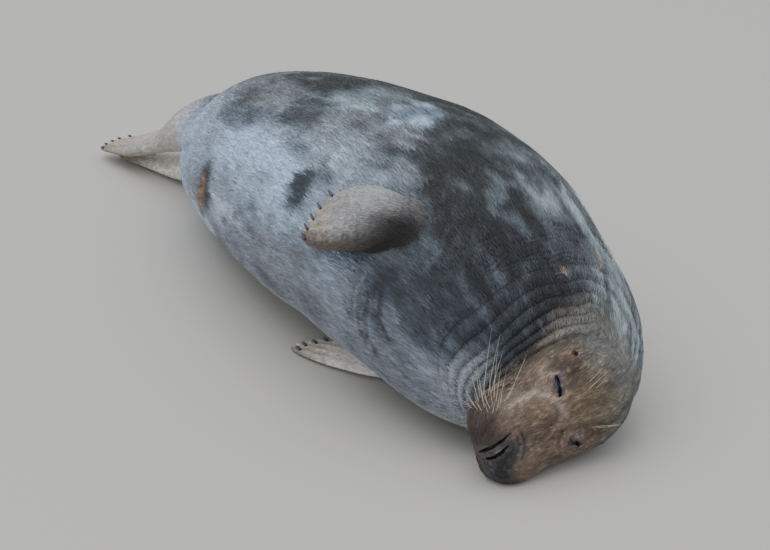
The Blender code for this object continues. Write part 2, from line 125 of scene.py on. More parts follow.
def curve_values(knots, values, places):
    """Smooth values (cubic Hermite) read at many places at once."""
    last = len(knots) - 1
    order = np.arange(last + 1)
    low, high = np.maximum(order - 1, 0), np.minimum(order + 1, last)
    slopes = (values[high] - values[low]) / (knots[high] - knots[low])
    span = np.clip(np.searchsorted(knots, places) - 1, 0, last - 1)
    width = knots[span + 1] - knots[span]
    t = (places - knots[span]) / width
    return ((2 * t**3 - 3 * t**2 + 1) * values[span]
            + (t**3 - 2 * t**2 + t) * slopes[span] * width
            + (3 * t**2 - 2 * t**3) * values[span + 1]
            + (t**3 - t**2) * slopes[span + 1] * width)


def knots_of(points):
    steps = np.linalg.norm(np.diff(points, axis=0), axis=1)
    return np.concatenate(([0.0], np.cumsum(steps)))


TRUNK_KNOTS = knots_of(TRUNK[:, :3])
print("spine", round(TRUNK_KNOTS[-1], 3), "m, head", HEAD_END, "m")

# %% Read rings off the lines
FLOOR_CLEARANCE = 0.0015


def on_floor(points, upwards):
    """Press flat what would sink below the floor."""
    low = np.maximum(0.0, FLOOR_CLEARANCE - points[..., 2:3])
    return points + upwards * (low / upwards[..., 2:3])


def trunk_rings(places, sides, grow):
    x, y, z, depth, height, turn = (curve_values(TRUNK_KNOTS, column, places)
                                    for column in TRUNK.T)
    turn = np.radians(turn)
    centre = np.stack((x, y, z), axis=1)[:, None]
    dorsal = np.stack((np.sin(turn), np.cos(turn), 0 * turn), axis=1)[:, None]
    angle = np.linspace(0, 2 * np.pi, sides, endpoint=False)[None, :, None]
    rings = (centre + dorsal * np.cos(angle) * (depth + grow)[:, None, None]
             + UPWARDS * np.sin(angle) * (height + grow)[:, None, None])
    return on_floor(rings, UPWARDS)


def head_rings(alongs, sides, grow):
    top, bottom, half, square = (curve_values(HEAD[:, 0], HEAD[:, i], alongs)[:, None]
                                 for i in range(1, 5))
    angle = np.linspace(0, 2 * np.pi, sides, endpoint=False)[None, :]
    across = np.sign(np.cos(angle)) * np.abs(np.cos(angle)) ** (2 / square)
    out = np.sign(np.sin(angle)) * np.abs(np.sin(angle)) ** (2 / square)
    up = across * (np.where(across > 0, top, bottom) + grow)
    out = out * (half + grow + np.where(out > 0, 0, HEAD_SAG))
    rings = (HEAD_TIP - HEAD_FORWARD * alongs[:, None, None] + HEAD_UP * up[..., None]
             + HEAD_RIGHT * out[..., None])
    return on_floor(rings, HEAD_RIGHT)


def head_place(points):
    """Where points lie in the head: behind the nose, above its line, to the right."""
    offset = points - HEAD_TIP
    return -(offset @ HEAD_FORWARD), offset @ HEAD_UP, offset @ HEAD_RIGHT


print("rings stay", FLOOR_CLEARANCE, "m clear of the floor")


# %% [markdown]
# ## Flippers
# A flipper is a flat blade: two grids, one for each face, that meet in a thin
# rim. Each digit gets a low ridge, and the ends of the digits make the notches
# of the far edge. A web of skin reaches a little past them, round the claws,
# which are made further on.

# %% Write the flippers
FLIPPERS = {
    # x, y, z, width, thickness from inside the body to the digits' ends
    "foreflipper_right": ((0.456, -0.537, -0.635), 0.16, (
        (0.280, -0.005, 0.305, 0.090, 0.070), (0.243, -0.042, 0.362, 0.098, 0.052),
        (0.190, -0.090, 0.366, 0.130, 0.034), (0.118, -0.121, 0.343, 0.120, 0.022),
        (0.046, -0.137, 0.314, 0.072, 0.011))),
    "foreflipper_left": ((0.500, -0.860, 0.000), 0.16, (
        (0.220, 0.090, 0.036, 0.090, 0.060), (0.150, 0.048, 0.026, 0.090, 0.044),
        (0.086, 0.010, 0.017, 0.118, 0.032), (0.003, -0.036, 0.011, 0.110, 0.021),
        (-0.086, -0.078, 0.006, 0.072, 0.011))),
    "hindflipper_right": ((0.460, -0.860, -0.080), 0.07, (
        (-0.690, 0.135, 0.168, 0.220, 0.160), (-0.812, 0.098, 0.142, 0.152, 0.106),
        (-0.898, 0.066, 0.092, 0.100, 0.052), (-0.985, 0.040, 0.050, 0.094, 0.032),
        (-1.082, 0.012, 0.022, 0.060, 0.011))),
    "hindflipper_left": ((0.420, -0.890, 0.000), 0.07, (
        (-0.700, 0.125, 0.080, 0.200, 0.120), (-0.805, 0.118, 0.056, 0.135, 0.080),
        (-0.885, 0.100, 0.028, 0.106, 0.046), (-0.965, 0.080, 0.015, 0.092, 0.026),
        (-1.062, 0.048, 0.006, 0.072, 0.011))),
}
print("flippers", ", ".join(FLIPPERS))

# %% Make the blades
DIGITS = 5
SCALLOP, CORNER = 0.0120, 0.028           # notches of the far edge, and its round corners
CORNER_SHARPNESS = 5
RIM, DIGIT_RIDGE = 0.0021, 0.0032
RIDGE_START, RIDGE_FADE = 0.45, 0.40      # shares of the blade's length
BLADE_FULLNESS = 2.4                      # 2 is an oval section, more is a squarer one
BLADE_SHRINK = 0.0004
WEB = {"fore": 0.0125, "hind": 0.0070}    # skin past the digits' ends
NUDGE = 0.002                             # a short step that tells which way a line runs


class Blade:
    """One flipper's blade, read at a distance along it and a lane v across it."""

    def __init__(self, web, edge_way, slant, stations):
        self.web = web
        self.edge_way = np.array(edge_way)
        self.slant = slant
        self.stations = np.array(stations)
        self.knots = knots_of(self.stations[:, :3])
        self.length = self.knots[-1]

    def value(self, column, distance):
        """A column of the stations, read at distances from the root."""
        return curve_values(self.knots, self.stations[:, column], distance)

    def middle(self, distance):
        return np.stack([self.value(i, distance) for i in range(3)], axis=-1)

    def axes(self, distance):
        """The ways along the blade, across it and out of its upper face."""
        way = self.middle(distance + NUDGE) - self.middle(distance - NUDGE)
        way /= np.linalg.norm(way, axis=-1, keepdims=True)
        edge = self.edge_way - way * (way @ self.edge_way)[..., None]
        edge /= np.linalg.norm(edge, axis=-1, keepdims=True)
        normal = np.cross(way, edge)
        return way, edge, normal * np.sign(normal[..., 2:3])

    def reach(self, v):
        """How far each lane runs before the far edge."""
        notch = 0.5 + 0.5 * np.cos(2 * np.pi * (1 - v) / 2 * DIGITS)
        return (self.length * (1 - self.slant * (1 - v) / 2)
                - SCALLOP * notch - CORNER * np.abs(v) ** CORNER_SHARPNESS + self.web)

    def half_thickness(self, distance, v):
        rounded = np.sqrt(np.maximum(0.0, 1 - np.abs(v) ** BLADE_FULLNESS))
        share = np.clip(distance / self.length, 0, 1)
        ridge = -DIGIT_RIDGE * (0.5 + 0.5 * np.cos(np.pi * (1 - v) * DIGITS))
        ridge = ridge * np.clip((share - RIDGE_START) / RIDGE_FADE, 0, 1)
        return np.maximum(RIM, self.value(4, distance) / 2 * rounded + ridge - BLADE_SHRINK)

    def point(self, distance, v, lift):
        _, edge, normal = self.axes(distance)
        across = v * (self.value(3, distance) / 2 - BLADE_SHRINK)
        return self.middle(distance) + edge * across[..., None] + normal * lift[..., None]

    def sheet(self, steps, lanes, side):
        """One face as a grid of points, with each point's distance and lane."""
        v = np.linspace(1, -1, lanes + 1)[None, :] * np.ones((steps + 1, 1))
        distance = np.linspace(0, 1, steps + 1)[:, None] * self.reach(v)
        points = self.point(distance, v, side * self.half_thickness(distance, v))
        lowest = FLOOR_CLEARANCE if side < 0 else FLOOR_CLEARANCE + 2 * RIM
        points[..., 2] = np.maximum(points[..., 2], lowest)
        return points, distance, v


blades = {name: Blade(WEB[name[:4]], *facts) for name, facts in FLIPPERS.items()}
print("blades", {name: round(b.length, 3) for name, b in blades.items()})

# %% [markdown]
# ## One skin
# The trunk, head, flippers and tail are closed shells that run into each
# other. A voxel remesh melts them into one closed surface, which a Boolean
# would leave with long thin triangles. Weighted smoothing then rounds the
# creases where they meet, as flesh does.

# %% Close tubes and blades
VOXEL = 0.0024
TRUNK_COAT, HEAD_COAT = 0.0035, 0.0020


def closed_tube(rings, start, end):
    """Points and faces of a tube through rings, closed by a point at each end."""
    count, sides = rings.shape[:2]
    points = np.concatenate((rings.reshape(-1, 3), start[None], end[None]))
    ring, side = np.meshgrid(np.arange(count - 1), np.arange(sides), indexing="ij")
    after = (side + 1) % sides
    quads = np.stack((ring * sides + side, ring * sides + after,
                      (ring + 1) * sides + after, (ring + 1) * sides + side), axis=-1)
    faces = quads.reshape(-1, 4).tolist()
    for base, pole in ((0, count * sides), ((count - 1) * sides, count * sides + 1)):
        faces += [[base + i, base + (i + 1) % sides, pole] for i in range(sides)]
    return points, faces


def closed_blade(blade, steps, lanes):
    """Points and faces of a blade: both sheets, and the rim between them."""
    sheets = [blade.sheet(steps, lanes, side)[0] for side in (1, -1)]
    width, total = lanes + 1, (steps + 1) * (lanes + 1)
    points = np.concatenate([sheet.reshape(-1, 3) for sheet in sheets])
    faces = []
    for base in (0, total):
        for i in range(steps):
            start = base + i * width
            faces += [[start + j, start + j + 1, start + j + 1 + width, start + j + width]
                      for j in range(lanes)]
    rim = (list(range(lanes)) + [i * width + lanes for i in range(steps)]
           + [steps * width + j for j in range(lanes, 0, -1)]
           + [i * width for i in range(steps, 0, -1)])
    faces += [[a, b, b + total, a + total] for a, b in zip(rim, rim[1:] + rim[:1])]
    return points, faces


print("voxels of", VOXEL, "m")

# %% Shape the tail
TAIL_ROOT = np.array((-0.770, 0.200, 0.090))
TAIL_WAY = np.array((-0.95, 0.12, -0.28))
TAIL_WAY /= np.linalg.norm(TAIL_WAY)
TAIL_LENGTH, TAIL_HALF_WIDTH, TAIL_HALF_THICKNESS = 0.115, 0.0255, 0.0105
TAIL_END = TAIL_ROOT + TAIL_WAY * 0.1145
TAIL_FULLNESS, LAST_TAIL_RING = 2.5, 0.985


def tail_rings(steps, sides):
    edge = np.cross(UPWARDS, TAIL_WAY)
    edge /= np.linalg.norm(edge)
    share = np.linspace(0, LAST_TAIL_RING, steps)[:, None, None]
    size = np.sqrt(1 - share ** TAIL_FULLNESS)
    angle = np.linspace(0, 2 * np.pi, sides, endpoint=False)[None, :, None]
    return (TAIL_ROOT + TAIL_WAY * TAIL_LENGTH * share
            + edge * np.cos(angle) * size * TAIL_HALF_WIDTH
            + np.cross(TAIL_WAY, edge) * np.sin(angle) * size * TAIL_HALF_THICKNESS)


print("tail", TAIL_LENGTH, "m")

# %% Close the shells
RUMP_POLE, NECK_POLE = np.array((-0.806, 0.142, 0.098)), np.array((0.520, 0.112, 0.100))
NOSE_POLE = HEAD_TIP + HEAD_UP * 0.006 - HEAD_FORWARD * 0.002
POLL_POLE = HEAD_TIP - HEAD_FORWARD * 0.320
trunk_line = np.linspace(0, TRUNK_KNOTS[-1], 150)
trunk_surface = trunk_rings(trunk_line, 144, -TRUNK_COAT)
head_line = np.linspace(HEAD_START, HEAD_END, 70)
head_surface = head_rings(head_line, 96, -HEAD_COAT)
shells = [closed_tube(trunk_surface, RUMP_POLE, NECK_POLE),
          closed_tube(head_surface, NOSE_POLE, POLL_POLE),
          closed_tube(tail_rings(16, 24), TAIL_ROOT, TAIL_END)]
shells += [closed_blade(blade, 60, 60) for blade in blades.values()]
print("shells", len(shells), "points", sum(len(points) for points, _ in shells))


# %% Make meshes and read them
def new_object(name, mesh):
    made = bpy.data.objects.new(name, mesh)
    bpy.context.scene.collection.objects.link(made)
    return made


def evaluated_mesh(made):
    """The object's mesh with its modifiers applied."""
    graph = bpy.context.evaluated_depsgraph_get()
    return bpy.data.meshes.new_from_object(made.evaluated_get(graph))


def mesh_from(name, points, faces):
    mesh = bpy.data.meshes.new(name)
    mesh.from_pydata((points + np.array(ORIGIN)).tolist(), [], faces)
    return mesh


def points_of(mesh):
    flat = np.empty(len(mesh.vertices) * 3, np.float32)
    mesh.vertices.foreach_get("co", flat)
    return flat.reshape(-1, 3).astype(float) - np.array(ORIGIN)


def put_points(mesh, points):
    mesh.vertices.foreach_set("co", (points + np.array(ORIGIN)).astype(np.float32).ravel())
    mesh.update()


def edges_of(mesh):
    flat = np.empty(len(mesh.edges) * 2, np.int32)
    mesh.edges.foreach_get("vertices", flat)
    return flat.reshape(-1, 2)


def normals_of(mesh):
    flat = np.empty(len(mesh.vertices) * 3, np.float32)
    mesh.vertex_normals.foreach_get("vector", flat)
    return flat.reshape(-1, 3).astype(float)


print("largest shell", max(len(points) for points, _ in shells), "points")

# %% Melt the shells into one skin
builder = bmesh.new()
for points, faces in shells:
    shell_mesh = mesh_from("shell", points, faces)
    builder.from_mesh(shell_mesh)
    bpy.data.meshes.remove(shell_mesh)
bmesh.ops.recalc_face_normals(builder, faces=builder.faces)
raw_mesh = bpy.data.meshes.new("raw_skin")
builder.to_mesh(raw_mesh)
builder.free()
raw_skin = new_object("raw_skin", raw_mesh)
melt = raw_skin.modifiers.new("melt", "REMESH")
melt.mode = "VOXEL"
melt.voxel_size = VOXEL
dense = evaluated_mesh(raw_skin)
bpy.data.objects.remove(raw_skin)
print("melted skin", len(dense.vertices), "points")


# %% [markdown]
# ### Soft joins
# Where a flipper or the head leaves the trunk, the melted shells meet in a
# sharp valley. Flesh is round there, so the points near a join are smoothed
# most, and thin blades are spared.

# %% Measure gaps to the parts
def tree_of(points):
    """A search tree that finds the nearest of many points fast."""
    tree = KDTree(len(points))
    for i, p in enumerate(points):
        tree.insert(p, i)
    tree.balance()
    return tree


def nearest_distance(points, surface):
    """Distance from each point to the nearest of a surface's points."""
    tree = tree_of(surface.reshape(-1, 3))
    return np.array([tree.find(p)[2] for p in points])


def smoothed(points, edges, weight, rounds):
    """Pull points towards the middle of their neighbours, by weight."""
    a, b = edges.T
    count = np.bincount(a, minlength=len(points)) + np.bincount(b, minlength=len(points))
    points = points.copy()
    for _ in range(rounds):
        total = np.stack([np.bincount(a, points[b, i], len(points))
                          + np.bincount(b, points[a, i], len(points)) for i in range(3)], axis=1)
        points += weight[:, None] * (total / np.maximum(count, 1)[:, None] - points)
    return points


def fade(value, start, end):
    """A soft step from 0 at start to 1 at end."""
    t = np.clip((value - start) / (end - start), 0, 1)
    return t * t * (3 - 2 * t)


def head_distance(points):
    """How far points lie outside the head, roughly, and negative inside it."""
    along, up, out = head_place(points)
    at = np.clip(along, HEAD_START, HEAD_END)
    top, bottom, half, square = (curve_values(HEAD[:, 0], HEAD[:, i], at) for i in range(1, 5))
    reach = np.where(up > 0, top, bottom)
    side = half + np.where(out > 0, 0, HEAD_SAG)
    ring = (np.abs(up / reach) ** square + np.abs(out / side) ** square) ** (1 / square)
    shell = (ring - 1) * np.sqrt(reach * side)
    outside = np.hypot(np.maximum(shell, 0), along - at)
    return np.where(outside > 0, outside, shell)


skin_points = points_of(dense)
print("deepest point in the head", round(float(head_distance(skin_points).min()), 4), "m")

# %% Round the creases where the parts meet
skin_edges = edges_of(dense)
seam, soft = np.zeros(len(skin_points)), np.full(len(skin_points), 0.5)
near_head = np.where(np.abs(head_distance(skin_points)) < 0.030)[0]
to_trunk = nearest_distance(skin_points[near_head], trunk_surface)
to_head = np.abs(head_distance(skin_points[near_head]))
behind = fade(head_place(skin_points[near_head])[0], 0.16, 0.28)
reach = 0.022 + 0.026 * behind
seam[near_head] = 1 - fade(np.maximum(to_trunk, to_head), 0.3 * reach, reach)
for name, blade in blades.items():
    sheet = np.concatenate([blade.sheet(40, 30, side)[0] for side in (1, -1)])
    low, high = sheet.reshape(-1, 3).min(0) - 0.02, sheet.reshape(-1, 3).max(0) + 0.02
    close = np.where(((skin_points > low) & (skin_points < high)).all(1))[0]
    to_trunk = nearest_distance(skin_points[close], trunk_surface)
    to_blade = nearest_distance(skin_points[close], sheet)
    seam[close] = np.maximum(seam[close], 1 - fade(np.maximum(to_trunk, to_blade), 0.006, 0.020))
    soft[close] -= 0.38 * fade(to_trunk, 0.012, 0.030) * (to_blade < 0.008)
skin_points = smoothed(skin_points, skin_edges, soft, 3)
skin_points = smoothed(skin_points, skin_edges, 0.9 * seam, 36)
nape = seam * fade(head_place(skin_points)[0], 0.20, 0.27)
skin_points = smoothed(skin_points, skin_edges, 0.9 * nape, 90)
put_points(dense, skin_points)
print("points near a crease", int((seam > 0.1).sum()))

# %% [markdown]
# ## Carving the skin
# A sculptor would draw folds, lids and nostrils with a stylus. Here each stroke
# is a short path snapped to the skin, and points near it move in or out along
# their normals. The head is divided finer first, so that narrow slits hold.

# %% Divide the head finer
def divide(mesh, chosen):
    """Split the edges of the chosen points' faces in two."""
    work = bmesh.new()
    work.from_mesh(mesh)
    work.verts.ensure_lookup_table()
    marked = set(np.where(chosen)[0].tolist())
    edges = [e for e in work.edges if e.verts[0].index in marked and e.verts[1].index in marked]
    bmesh.ops.subdivide_edges(work, edges=edges, cuts=1, use_grid_fill=True)
    bmesh.ops.triangulate(work, faces=[f for f in work.faces if len(f.verts) > 4])
    work.to_mesh(mesh)
    work.free()


def in_head(along, up, out):
    """A place given in the head's own directions."""
    return HEAD_TIP - HEAD_FORWARD * along + HEAD_UP * up + HEAD_RIGHT * out


EYES = {"right": (in_head(0.156, 0.055, 0.0575), in_head(0.163, 0.047, 0.074)
                  - in_head(0.146, 0.062, 0.041)),
        "left": (in_head(0.157, 0.060, -0.056), in_head(0.166, 0.056, -0.070)
                 - in_head(0.147, 0.063, -0.042))}
divide(dense, np.abs(head_distance(points_of(dense)) - 0.030) < 0.062)
detail_points = points_of(dense)
close = np.linalg.norm(detail_points - in_head(0.015, 0.02, 0.0), axis=1) < 0.060
for middle, _ in EYES.values():
    close |= np.linalg.norm(detail_points - middle, axis=1) < 0.034
divide(dense, close)
print("after dividing", len(dense.vertices), "points")

# %% Measure noise and gaps
CELLS = 32
LATTICE = np.random.default_rng(11).random((CELLS, CELLS, CELLS))
FAR = 9.0                                 # metres, farther than any point of the seal


def roughness_at(points, scale, seed=0):
    """Smooth noise from 0 to 1, with cells of 1 / scale."""
    place = points * scale + seed * 7.31
    cell = np.floor(place).astype(int)
    t = place - cell
    t = t * t * (3 - 2 * t)
    total = np.zeros(len(points))
    for corner in np.ndindex(2, 2, 2):
        share = np.prod(np.where(corner, t, 1 - t), axis=1)
        total += share * LATTICE[tuple(((cell + corner) % CELLS).T)]
    return total


def path_gap(points, path):
    """Distance to a bent line, and how far along it (0 to 1) the nearest place is."""
    lengths = np.linalg.norm(np.diff(path, axis=0), axis=1)
    gap, place, done = np.full(len(points), FAR), np.zeros(len(points)), 0.0
    for start, end, length in zip(path[:-1], path[1:], lengths):
        way = end - start
        t = np.clip((points - start) @ way / max(way @ way, 1e-9), 0, 1)
        here = np.linalg.norm(points - start - t[:, None] * way, axis=1)
        place = np.where(here < gap, (done + t * length) / max(lengths.sum(), 1e-6), place)
        gap = np.minimum(gap, here)
        done += length
    return gap, place


print("noise of", CELLS, "cells a side")


# %% Make the clay
class Clay:
    """The skin's points and normals, moved by strokes."""

    def __init__(self, mesh):
        self.mesh = mesh
        self.points, self.normals = points_of(mesh), normals_of(mesh)
        self.tree = tree_of(self.points)

    def snap(self, path, steps=6):
        """Lay a path on the skin, with smooth bends."""
        path = np.array(path)
        knots = knots_of(path)
        fine = np.linspace(0, knots[-1], steps * (len(path) - 1) + 1)
        bent = np.stack([curve_values(knots, path[:, i], fine) for i in range(3)], axis=1)
        return self.points[[self.tree.find(p)[1] for p in bent]]

    def near(self, centre, radius):
        """Which points lie within a radius of a place."""
        found = self.tree.find_range(Vector(centre), radius)
        return np.array([index for _, index, _ in found], dtype=int)

    def around(self, path, radius):
        """Which points lie in the box round a path."""
        low, high = path.min(0) - radius, path.max(0) + radius
        return np.where(((self.points > low) & (self.points < high)).all(1))[0]

    def stroke(self, path, width, depth, rolls=0.35, ends=0.25):
        """A groove with a soft roll of skin at each side."""
        path = self.snap(path)
        chosen = self.around(path, 4 * width)
        gap, place = path_gap(self.points[chosen], path)
        strength = fade(np.minimum(place, 1 - place), 0, ends)
        shape = np.exp(-(gap / width) ** 2) - rolls * np.exp(-((gap - 2 * width) / width) ** 2)
        self.points[chosen] -= self.normals[chosen] * (depth * strength * shape)[:, None]

    def slit(self, path, half_width, depth, rim):
        """A steep opening that narrows to points at both ends, with a raised rim."""
        path = self.snap(path)
        chosen = self.around(path, 0.012)
        gap, place = path_gap(self.points[chosen], path)
        reach = half_width * np.sqrt(np.clip(1 - (2 * place - 1) ** 2, 0, 1))
        hole = depth * fade(reach - gap, -0.0006, 0.0012)
        edge = rim * np.exp(-((gap - reach - 0.0014) / 0.0013) ** 2)
        self.points[chosen] += self.normals[chosen] * (edge - hole)[:, None]

    def swell(self, centre, radius, height):
        """A soft mound, or a pit where the height is negative."""
        chosen = self.near(centre, 2.2 * radius)
        gap = np.linalg.norm(self.points[chosen] - centre, axis=1)
        push = height * np.exp(-(gap / radius) ** 2)
        self.points[chosen] += self.normals[chosen] * push[:, None]


clay = Clay(dense)
print("clay ready")

# %% [markdown]
# ## Folds, lids, nostrils and mouth
# The neck is bent hard to the belly, so its skin gathers in rolls that run
# round the back of the head, deep at the throat and shallow at the nape. The
# lids are all but shut, each with a rim. The nostrils are shut slits.

# %% Draw the rolls and wrinkles
FOLD_PLACES = np.array((-0.018, 0.0, 0.012, 0.024, 0.037, 0.052, 0.070, 0.092, 0.120))
FOLD_STEEPNESS, FOLD_MIDDLE = 0.34, 0.72
FOLD_SHARES = np.array((0.3, 1, 1, 1, 0.9, 0.68, 0.46, 0.32))
FOLD_DEPTHS = FOLD_STEEPNESS * np.diff(FOLD_PLACES) * FOLD_SHARES


def fold_height(points):
    """Height of the rolls: sharp valleys with round tops between them."""
    away = head_distance(points)
    along, up, out = head_place(points)
    high = fade(points[:, 2], 0.08, 0.30)
    wander = (0.013 * (roughness_at(points, 8, 1) - 0.5)
              + 0.0028 * (roughness_at(points, 42, 2) - 0.5))
    stretch = 0.82 + 0.38 * high
    spread = away / stretch + wander
    slot = np.clip(np.searchsorted(FOLD_PLACES, spread) - 1, 0, len(FOLD_DEPTHS) - 1)
    share = (spread - FOLD_PLACES[slot]) / (FOLD_PLACES[slot + 1] - FOLD_PLACES[slot])
    share = np.clip(share, 0, 1)
    roll = np.sqrt(np.sin(np.pi * share)) - FOLD_MIDDLE
    throat = 1 - fade(up, -0.02, 0.085)
    top = 0.64 * (1 - 0.6 * fade(up, 0.03, 0.12))
    inside = fade(spread, FOLD_PLACES[0], FOLD_PLACES[0] + 0.004)
    outside = 1 - fade(spread, 0.09, FOLD_PLACES[-1])
    strength = np.maximum(throat, top) * inside * outside * fade(along, 0.01, 0.05)
    uneven = 0.35 + 1.2 * roughness_at(points, 14, 3)
    broken = fade(roughness_at(points, 26, 4), 0.42, 0.60)
    uneven *= 1 - 0.85 * fade(up, 0.0, 0.06) * (1 - broken)
    return roll * FOLD_DEPTHS[slot] * stretch * strength * uneven


def wrinkles(points):
    """The thin broken wrinkles between nape and shoulder, from 0 to 1."""
    away = head_distance(points)
    along, up, out = head_place(points)
    course = np.stack([away, 0.35 * out, 0.35 * along], axis=1)
    line = 1 - np.clip(np.abs(roughness_at(course, 85, 21) - 0.5) / 0.08, 0, 1)
    band = fade(away, 0.045, 0.080) * (1 - fade(away, 0.16, 0.21))
    band *= fade(out, 0.02, 0.09) * fade(along, 0.10, 0.20)
    return line * band * fade(roughness_at(points, 24, 22), 0.38, 0.54)


print("rolls up to", round(float(FOLD_DEPTHS.max()), 4), "m deep")

# %% Gather the neck's folds
WRINKLE_DEPTH = 0.0016
NECK_REACH = 0.22
near_neck = np.where(head_distance(clay.points) < NECK_REACH)[0]
neck_points = clay.points[near_neck]
push = fold_height(neck_points) - WRINKLE_DEPTH * wrinkles(neck_points)
clay.points[near_neck] += clay.normals[near_neck] * push[:, None]
JAW_CREASE = [in_head(0.060, -0.030, 0.073), in_head(0.092, -0.031, 0.079),
              in_head(0.120, -0.033, 0.082), in_head(0.146, -0.033, 0.086),
              in_head(0.192, -0.010, 0.100)]
clay.stroke(JAW_CREASE, width=0.0045, depth=0.0035)
print("fold points", len(near_neck))

# %% [markdown]
# ### Lids
# A sleeping seal's lids meet in a short arched slit. Round the slit the skin
# domes over the eyeball, dips at the socket and creases in rings. All of it is
# a sum of heights in the lid's own directions, so that both eyes share it.

# %% Shut the eyes
LID_HALF, LID_ARCH, LID_OPENING = 0.0190, 0.0016, 0.0038


def lid_frame(side):
    """Middle of the eye on the skin, the slit's way, the way across it and outwards."""
    middle, way = EYES[side]
    index = clay.tree.find(middle)[1]
    outwards = clay.normals[index]
    way = way - outwards * (way @ outwards)
    way = way / np.linalg.norm(way)
    return clay.points[index].copy(), way, np.cross(outwards, way), outwards


def lid_place(points, eye):
    """How far points lie along the slit and across it, and its half width there."""
    middle, way, across, _ = eye
    offset = points - middle
    a = offset @ way
    b = offset @ across - LID_ARCH * np.sin(np.pi * a / LID_HALF / 2)
    return a, b, LID_OPENING * np.sqrt(np.clip(1 - (a / LID_HALF) ** 2, 0, 1))


lid_frames = {side: lid_frame(side) for side in EYES}
for eye in lid_frames.values():
    chosen = clay.near(eye[0], 0.050)
    a, b, opening = lid_place(clay.points[chosen], eye)
    gap = np.hypot(0.75 * a, b)
    hole = 0.0080 * fade(opening - np.abs(b), -0.0005, 0.0011) * (np.abs(a) < LID_HALF)
    ends = 1 - fade(np.abs(a), LID_HALF, LID_HALF + 0.007)
    rim = 0.0013 * np.exp(-((np.abs(b) - opening - 0.0018) / 0.0014) ** 2) * ends
    dome = 0.0030 * np.exp(-(gap / 0.016) ** 2)
    socket = -0.0012 * np.exp(-((gap - 0.027) / 0.008) ** 2)
    gap = gap + 0.004 * (roughness_at(clay.points[chosen], 90, 8) - 0.5)
    creases = 0.00035 * np.sin(2 * np.pi * gap / 0.0048) * np.exp(-((gap - 0.013) / 0.007) ** 2)
    push = dome + rim - hole + socket + creases
    clay.points[chosen] += clay.normals[chosen] * push[:, None]
print("lids", {side: [round(float(v), 3) for v in f[0]] for side, f in lid_frames.items()})

# %% [markdown]
# ### Nostrils, mouth and ears
# The nostrils are two long slits that part towards the brow, the mouth is a
# fine line under each whisker pad, and an ear is only a small hole with a soft
# ring. Slits, strokes and mounds on the same clay make them all.

# %% Cut the nostrils, the mouth and the ears
NOSTRILS = {"right": [in_head(0.002, 0.000, -0.008), in_head(0.004, 0.028, 0.006),
                      in_head(0.020, 0.047, 0.017), in_head(0.040, 0.055, 0.026)],
            "left": [in_head(0.003, 0.014, -0.017), in_head(0.006, 0.034, -0.010),
                     in_head(0.018, 0.046, -0.002), in_head(0.030, 0.052, 0.006)]}
MOUTH = [(0.004, -0.014, 0.012), (0.010, -0.018, 0.036), (0.028, -0.014, 0.064),
         (0.052, -0.008, 0.077), (0.078, -0.001, 0.082), (0.108, 0.012, 0.083)]
MOUTH_LINES = {"right": [in_head(*p) for p in MOUTH],
               "left": [in_head(p[0], p[1], -p[2] - HEAD_SAG * 0.8) for p in MOUTH]}
EARS = {"right": in_head(0.215, 0.042, 0.089), "left": in_head(0.215, 0.042, -0.100)}
WET_CREASES = [
    [in_head(0.058, 0.060, 0.018), in_head(0.061, 0.060, 0.002), in_head(0.057, 0.059, -0.014),
     in_head(0.046, 0.057, -0.030)],
    [in_head(0.049, 0.058, 0.010), in_head(0.047, 0.057, -0.006), in_head(0.038, 0.055, -0.020),
     in_head(0.026, 0.050, -0.030)]]
NOSE_MIDDLE = in_head(0.010, 0.034, -0.026)
for pad in (in_head(0.048, 0.022, 0.078), in_head(0.048, 0.022, -0.088)):
    clay.swell(pad, radius=0.026, height=0.0030)
clay.swell(in_head(0.012, 0.036, -0.004), radius=0.016, height=0.0016)
for path in NOSTRILS.values():
    clay.slit(path, half_width=0.0031, depth=0.0090, rim=0.0013)
clay.stroke([in_head(0.002, 0.008, -0.006), in_head(0.005, 0.036, -0.001),
             in_head(0.030, 0.056, 0.012)], width=0.0016, depth=0.0009, ends=0.1)
for path in MOUTH_LINES.values():
    clay.stroke(path, width=0.0021, depth=0.0048, rolls=0.45, ends=0.08)
for path in WET_CREASES:
    clay.stroke(path, width=0.0016, depth=0.0014, rolls=0.4)
for place in EARS.values():
    for radius, height in ((0.0085, 0.0022), (0.0040, -0.0090)):
        clay.swell(clay.points[clay.tree.find(place)[1]], radius, height)
LEATHER_GRAIN, LEATHER_DEPTH = 330, 0.0022
nose_points = clay.near(NOSE_MIDDLE, 0.044)
leather = (roughness_at(clay.points[nose_points], LEATHER_GRAIN, 14) - 0.5) * LEATHER_DEPTH
nose_gap = np.linalg.norm(clay.points[nose_points] - NOSE_MIDDLE, axis=1)
leather *= 1 - fade(nose_gap, 0.026, 0.042)
clay.points[nose_points] += clay.normals[nose_points] * leather[:, None]
print("mouth, nostrils and ears cut")

# %% [markdown]
# ### Claws in their beds
# A claw grows out of a bed of skin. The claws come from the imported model, so
# the skin beside them is sunk a little, and they stand clear of it.

# %% Sink the skin round the claws
CLAWS = [f"{end}claw_{side}_{digit + 1}" for end in ("fore", "hind")
         for side in ("right", "left") for digit in range(DIGITS)]
claw_points = np.concatenate([points_of(bpy.data.objects[name].data) for name in CLAWS])
claw_tree = tree_of(claw_points)


FORWARD_OF_CLAWS, CLAW_SINK = 0.10, 0.0016


def claw_gap(places):
    """Distance to the nearest claw, and FAR where none is near."""
    gap = np.full(len(places), FAR)
    low, high = claw_points.min(0) - 0.02, claw_points.max(0) + 0.02
    near = ((places > low) & (places < high)).all(1) & (places[:, 0] < FORWARD_OF_CLAWS)
    gap[near] = [claw_tree.find(p)[2] for p in places[near]]
    return gap


